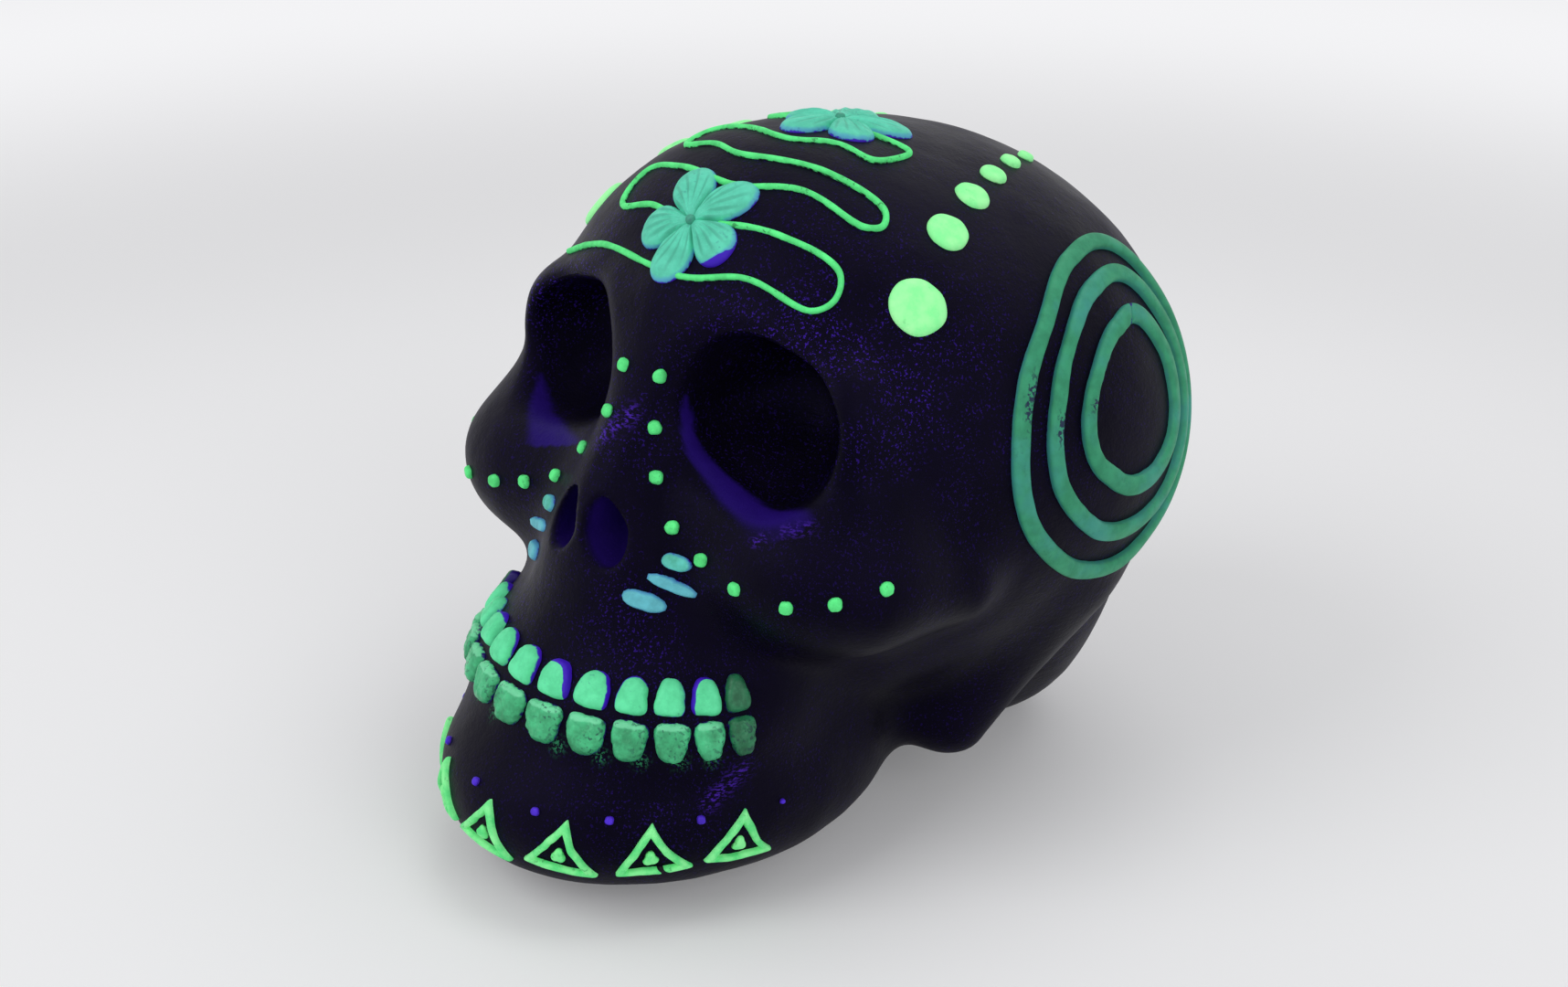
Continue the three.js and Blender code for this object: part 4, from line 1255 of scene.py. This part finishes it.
    def squeeze(self, skin, sizes, name, run, seed):
        """One run of the line, as a ball drawn out along it."""
        rings = len(run)
        piece = new_ball(name, 14, rings)
        ball = points_of(piece)
        station = np.arccos(np.clip(ball[:, 2], -1, 1)) / math.pi * (rings - 1)
        around = np.arctan2(ball[:, 1], ball[:, 0])
        low = np.clip(station.astype(int), 0, rings - 2)
        share = (station - low)[:, None]
        foot = run[low] * (1 - share) + run[low + 1] * share
        tangent = np.gradient(run, axis=0)
        tangent = tangent[low] * (1 - share) + tangent[low + 1] * share
        normal = skin.normals(foot)
        across = np.cross(tangent, normal)
        across /= np.linalg.norm(across, axis=1)[:, None]
        from_end = np.minimum(station, rings - 1 - station) * self.step
        round_end = np.sqrt(np.clip(from_end / (0.5 * sizes.line_width), 0, 1))
        waver = np.random.default_rng(600 + seed + rings).uniform(-1, 1, (2, rings // 9 + 4))
        stations = np.linspace(0, rings - 1, waver.shape[1])
        wider, taller = (1 + self.waver * np.interp(station, stations, row) for row in waver)
        side = 0.5 * sizes.line_width * wider * round_end
        height = self.line_rise * sizes.relief_height * taller * round_end
        rise = np.where(np.sin(around) >= 0, -LAP + (height + LAP) * np.abs(np.sin(around)) ** 0.6,
                        -LAP + self.line_keel * np.sin(around))
        reach = side * np.sign(np.cos(around)) * np.abs(np.cos(around)) ** 0.9
        set_points(piece, foot + across * reach[:, None] + normal * rise[:, None])
        mark(piece, "edge", side * 0.98 - np.abs(reach) + 0.0003 * (rise > 0))
        return piece


class SKULL_OT_discs(SkullPiece, bpy.types.Operator):
    """Lay the rows of shrinking discs above the temples"""

    bl_idname = "skull.discs"
    bl_label = "Lay the discs"

    radius_share = 0.48
    disc_rise = 0.75

    def execute(self, context):
        skin, sizes, colours = self.tools(context)
        coat = paint_finish("disc_paint", colours.disc, between(colours.disc, colours.line, 0.5),
                            shade(colours.casting, 1.2), ragged=0.08, pits=0.2, glow=0.18)
        diameters = list(sizes.disc_diameters)
        for side, sign in SIDES:
            walked = 0.0
            for i, diameter in enumerate(diameters):
                if i > 0:
                    walked += (diameters[i - 1] + diameter) / 2 + sizes.disc_gap
                x = sizes.disc_start[0] - walked * math.cos(sizes.disc_heading)
                y = sizes.disc_start[1] + walked * math.sin(sizes.disc_heading)
                under = np.array([(sign * x, y + skin.shift[1], skin.heart[2])])
                above = skin.walk_out(under, np.array([UP]))[0]
                seed = 200 + 10 * i + sign

                def outline(turn):
                    return self.radius_share * diameter * (1 + hand(turn, seed, 0.035))

                piece = pad(skin, f"temple_disc_{side}_{i + 1}_dab", skin.place(above, BACK), outline,
                            self.disc_rise * sizes.relief_height, cover=1.0)
                close_piece(piece, coat, (f"temple_disc_{side}_{i + 1}",))
        return {'FINISHED'}


def triangle_places(skin, sizes):
    """Each jaw triangle's node and its place on the skin."""
    stops = skin.level_line(skin.form.jaw_rim_centre[2] - sizes.triangle_drop,
                            np.arange(4) * (sizes.triangle_base + sizes.triangle_gap))
    places = [("jaw_triangle_centre", skin.place(stops[0], UP))]
    for i in (1, 2, 3):
        for side, sign in SIDES:
            places.append((f"jaw_triangle_{side}_{i}", skin.place(stops[i] * (sign, 1, 1), UP)))
    return places


class SKULL_OT_triangles(SkullPiece, bpy.types.Operator):
    """Lay the triangle frames along the jaw, with a dab in each"""

    bl_idname = "skull.triangles"
    bl_label = "Lay the triangles"

    corner_power = 40
    frame_rise = 0.7
    dab_rise = 0.6
    break_turn, break_reach = -0.98, 0.1

    # How far each triangle leans, in degrees.
    tilts = {"centre": -9, "left_1": -8, "left_2": 3, "left_3": -7, "right_1": 6, "right_2": -4, "right_3": 5}

    def execute(self, context):
        skin, sizes, colours = self.tools(context)
        coat = paint_finish("triangle_paint", between(colours.line, colours.disc, 0.6),
                            shade(colours.line, 0.8), colours.casting, ragged=0.14, pits=0.4, glow=0.16)
        half = sizes.triangle_base / 2
        slant = math.hypot(half, sizes.triangle_rise)
        inside = sizes.triangle_base * sizes.triangle_rise / (sizes.triangle_base + 2 * slant)
        lean = math.atan2(half, sizes.triangle_rise)
        for seed, (node, place) in enumerate(triangle_places(skin, sizes)):
            tilt = math.radians(self.tilts[node.removeprefix("jaw_triangle_")])

            def outline(turn):
                faces = [np.maximum(np.cos(turn - tilt - face), 0) ** self.corner_power
                         for face in (-math.pi / 2, lean, math.pi - lean)]
                return inside / sum(faces) ** (1 / self.corner_power) + hand(turn, 300 + seed, 0.0002)

            def width(turn):
                return sizes.triangle_line / inside * outline(turn) * (1 + hand(turn, 320 + seed, 0.08))

            def bare(turn, across):
                """A break in the base line of one triangle."""
                if node != "jaw_triangle_left_2":
                    return 0 * turn
                return np.exp(-((turn - self.break_turn) / self.break_reach) ** 2)

            height = self.frame_rise * sizes.relief_height
            piece = band(skin, node + "_frame", place, outline, width, height, bare, 240, 16, 0.6)
            close_piece(piece, coat, (node,))

            def dab_outline(turn):
                three_sided = 0.16 * np.cos(3 * (turn - tilt - math.pi / 2))
                return 0.5 * sizes.dab_size * (1 + three_sided + hand(turn, 340 + seed, 0.07))

            dab = pad(skin, node + "_dab", place, dab_outline, self.dab_rise * sizes.relief_height, 28, 16)
            close_piece(dab, coat)
        return {'FINISHED'}


class SKULL_OT_dabs(SkullPiece, bpy.types.Operator):
    """Set the beads under the eyes, the cheek dashes and the dots along the jaw"""

    bl_idname = "skull.dabs"
    bl_label = "Set beads, dashes and dots"

    squareness = 2.4
    dab_rise = 0.28
    tallest_dab = 0.0008
    last_dot = 0.6

    # Places by side, in mm, and the dashes' tilts in degrees.
    beads = {
        "left": ((5.8, -49.3, 91.2), (6.8, -51.8, 82.9), (9.6, -54, 75.1), (14.8, -55.4, 67.8),
                 (21.8, -55.5, 64), (30.6, -56.2, 61.8), (40.8, -54.2, 61.1), (47.8, -49.7, 62.6),
                 (52.8, -42.5, 64.7)),
        "right": ((-2.4, -50, 91.2), (-3.2, -53.2, 83.4), (-8.7, -54.6, 75.4), (-15.8, -55, 67.9),
                  (-23.9, -55.5, 64.3), (-31.7, -56.1, 62.2), (-41.6, -53.6, 60), (-53, -41.5, 63.2),
                  (-55, -33, 64)),
    }
    dashes = {
        "left": ((17.2, -56.8, 62.4), (17.1, -57.8, 58.4), (13.7, -61.3, 55.5)),
        "right": ((-14.5, -57.8, 63.9), (-17.6, -57.4, 58.5), (-19, -57.4, 53)),
    }
    dash_tilts = (-8, -17, -13)
    dots = {
        "left": ((10.1, -84.3, 22.2), (21.6, -77.5, 22.3), (31.5, -65.2, 21.4), (36.3, -50.2, 20.6)),
        "right": ((-4.4, -85.4, 22.7), (-19.5, -79.2, 22.4), (-31.5, -65.2, 21.4), (-36.3, -50.2, 20.6)),
    }

    def execute(self, context):
        skin, sizes, colours = self.tools(context)
        skin.surface = skin.carved
        green = paint_finish("bead_paint", colours.line, shade(colours.line, 0.65), colours.casting,
                             ragged=0.12, pits=0.3, glow=0.14)
        blue = paint_finish("dash_paint", colours.dash, shade(colours.dash, 0.75), colours.rim,
                            edge=colours.flower_edge, edge_width=0.6, ragged=0.2, pits=0.3, glow=0.08)
        mint = paint_finish("first_dash_paint", between(colours.dash, colours.flower, 0.6),
                            shade(colours.flower, 0.6), colours.rim, edge=colours.flower_edge, edge_width=0.4,
                            ragged=0.2, pits=0.3, glow=0.08)
        violet = paint_finish("dot_paint", colours.dot, shade(colours.dot, 0.6), colours.casting,
                              ragged=0.12, pits=0.2, glow=0.08)
        for side, sign in SIDES:
            for i, spot in enumerate(self.beads[side]):
                bead = sizes.bead_diameter
                self.dab(skin, f"eye_bead_{side}_{i + 1}", spot, bead, bead, 0, 400 + 20 * i + sign, green,
                         "line_paint")
            for i, spot in enumerate(self.dashes[side]):
                long, wide, tilt = sizes.dash_lengths[i], sizes.dash_widths[i], sign * self.dash_tilts[i]
                self.dab(skin, f"cheek_dash_{side}_{i + 1}", spot, long, wide, tilt, 700 + 20 * i + sign,
                         blue if i else mint, "flower_paint")
            for i, spot in enumerate(self.dots[side]):
                dot = sizes.dot_diameter * (1 if i < 3 else self.last_dot)
                self.dab(skin, f"jaw_dot_{side}_{i + 1}", spot, dot, dot, 0, 800 + 20 * i + sign, violet,
                         "line_paint")
        return {'FINISHED'}

    def dab(self, skin, name, spot, long, wide, tilt, seed, coat, slot):
        """One dab of paint where the ray from the heart through a spot meets the skin."""
        target = MM * np.array(spot) + skin.shift

        def outline(turn):
            lean = turn - math.radians(tilt)
            c = np.abs(np.cos(lean)) / (long / 2)
            s = np.abs(np.sin(lean)) / (wide / 2)
            squared = (c ** self.squareness + s ** self.squareness) ** (-1 / self.squareness)
            return squared * (1 + hand(turn, seed, 0.06))

        height = min(self.dab_rise * wide, self.tallest_dab)
        close_piece(pad(skin, name, skin.place(target, UP), outline, height, 32, 20, cover=1.0), coat)


class SKULL_OT_stage(SkullPiece, bpy.types.Operator):
    """Set the pale floor, the soft lights and the camera"""

    bl_idname = "skull.stage"
    bl_label = "Set the stage"

    view_turn = math.radians(44.484)
    view_rise = math.radians(24.302)
    view_distance = 0.5183
    view_aim = (-0.009142, 0.051616)
    view_lens = 62.885
    floor_size = 8
    floor_fade = (0.2, 0.75)
    floor_lift = 0.16
    world_light = 0.42

    # Name, place, size and power of each light, and the point that they shine at.
    lamps = (
        ("key_softbox", (-0.35, -1.0, 0.95), 1.0, 5.2),
        ("side_softbox", (1.1, -0.35, 0.6), 0.9, 3.0),
        ("top_softbox", (0.1, 0.5, 1.3), 1.2, 4.0),
    )
    lamp_aim = (0, 0, 0.06)

    def execute(self, context):
        skin, _, colours = self.tools(context)
        clear_selection()
        bpy.ops.mesh.primitive_plane_add(size=self.floor_size)
        floor = named("studio_floor")
        floor.data.materials.append(self.floor_finish(colours))
        for lamp in self.lamps:
            self.lamp(*lamp)
        self.world(context, colours)
        self.camera(context, skin)
        return {'FINISHED'}

    def floor_finish(self, colours):
        """Pale floor that keeps the shadow near the skull and fades into the background further out."""
        finish = Finish("studio_floor")
        path = finish.node('ShaderNodeLightPath').outputs
        seen = finish.sum('ADD', path['Is Camera Ray'], path['Is Glossy Ray'])
        seen = finish.sum('ADD', seen, path['Is Transmission Ray'])
        away = finish.node('ShaderNodeVectorMath', operation='LENGTH')
        finish.feed(away.inputs[0], finish.place)
        far = finish.step(away.outputs['Value'], *self.floor_fade)
        glow = finish.sum('MULTIPLY', seen, finish.step(far, 0, 1, self.floor_lift, 1))
        tint = finish.mix(finish.cloud(3, 2), colours.floor, shade(colours.floor, 0.985))
        hidden = finish.sum('MULTIPLY', seen, far)
        finish.set(Base_Color=finish.mix(hidden, tint, BLACK), Roughness=0.9, Specular_IOR_Level=0.0,
                   Emission_Color=colours.floor, Emission_Strength=glow)
        return finish.material

    def lamp(self, name, place, size, power):
        clear_selection()
        bpy.ops.object.light_add(type='AREA', location=place)
        lamp = bpy.context.object
        lamp.name = name
        lamp.data.shape = 'DISK'
        lamp.data.size = size
        lamp.data.energy = power
        away = np.array(place) - self.lamp_aim
        flat = math.hypot(away[0], away[1])
        lamp.rotation_euler = (math.atan2(flat, away[2]), 0, math.atan2(away[0], -away[1]))

    def world(self, context, colours):
        world = bpy.data.worlds.new("studio")
        context.scene.world = world
        world.use_nodes = True
        nodes, links = world.node_tree.nodes, world.node_tree.links
        light = nodes["Background"]
        light.inputs['Color'].default_value = (*WHITE, 1)
        light.inputs['Strength'].default_value = self.world_light
        shown = nodes.new('ShaderNodeBackground')
        shown.inputs['Color'].default_value = (*colours.floor, 1)
        seen = nodes.new('ShaderNodeLightPath').outputs
        either = seen['Is Camera Ray']
        for ray in ('Is Glossy Ray', 'Is Transmission Ray'):
            total = nodes.new('ShaderNodeMath')
            links.new(either, total.inputs[0])
            links.new(seen[ray], total.inputs[1])
            either = total.outputs[0]
        mix = nodes.new('ShaderNodeMixShader')
        links.new(either, mix.inputs[0])
        links.new(light.outputs[0], mix.inputs[1])
        links.new(shown.outputs[0], mix.inputs[2])
        links.new(mix.outputs[0], nodes["World Output"].inputs['Surface'])

    def camera(self, context, skin):
        turn, rise = self.view_turn, self.view_rise
        right = np.array((math.cos(turn), math.sin(turn), 0))
        aim = skin.shift + self.view_aim[0] * right + self.view_aim[1] * UP
        away = np.array((math.sin(turn) * math.cos(rise), -math.cos(turn) * math.cos(rise), math.sin(rise)))
        clear_selection()
        bpy.ops.object.camera_add(location=aim + self.view_distance * away,
                                  rotation=(math.pi / 2 - rise, 0, turn))
        camera = bpy.context.object
        camera.name = "studio_camera"
        camera.data.sensor_fit = 'HORIZONTAL'
        camera.data.sensor_width = 36
        camera.data.lens = self.view_lens
        camera.data.clip_start = 0.01
        context.scene.camera = camera
        context.scene.view_settings.view_transform = 'Standard'


OPERATORS = (
    SKULL_OT_casting, SKULL_OT_teeth, SKULL_OT_rings, SKULL_OT_flowers, SKULL_OT_scroll, SKULL_OT_discs,
    SKULL_OT_triangles, SKULL_OT_dabs, SKULL_OT_stage,
)


class SKULL_PT_panel(bpy.types.Panel):
    """Steps that dress the skull, in order"""

    bl_label = "Sugar Skull"
    bl_space_type = 'VIEW_3D'
    bl_region_type = 'UI'
    bl_category = "Sugar Skull"

    def draw(self, context):
        column = self.layout.column(align=True)
        for step in OPERATORS:
            column.operator(step.bl_idname)


GROUPS = (("skull_form", SkullForm), ("skull_relief", SkullRelief), ("skull_colours", SkullColours))
CLASSES = tuple(group for _, group in GROUPS) + OPERATORS + (SKULL_PT_panel,)


def register():
    for entry in CLASSES:
        bpy.utils.register_class(entry)
    for name, group in GROUPS:
        setattr(bpy.types.Scene, name, PointerProperty(type=group))


def unregister():
    for name, _ in GROUPS:
        delattr(bpy.types.Scene, name)
    for entry in reversed(CLASSES):
        bpy.utils.unregister_class(entry)


def main():
    register()
    bpy.ops.skull.casting()
    bpy.ops.skull.teeth()
    bpy.ops.skull.rings()
    bpy.ops.skull.flowers()
    bpy.ops.skull.scroll()
    bpy.ops.skull.discs()
    bpy.ops.skull.triangles()
    bpy.ops.skull.dabs()
    bpy.ops.skull.stage()


if __name__ == "__main__":
    main()
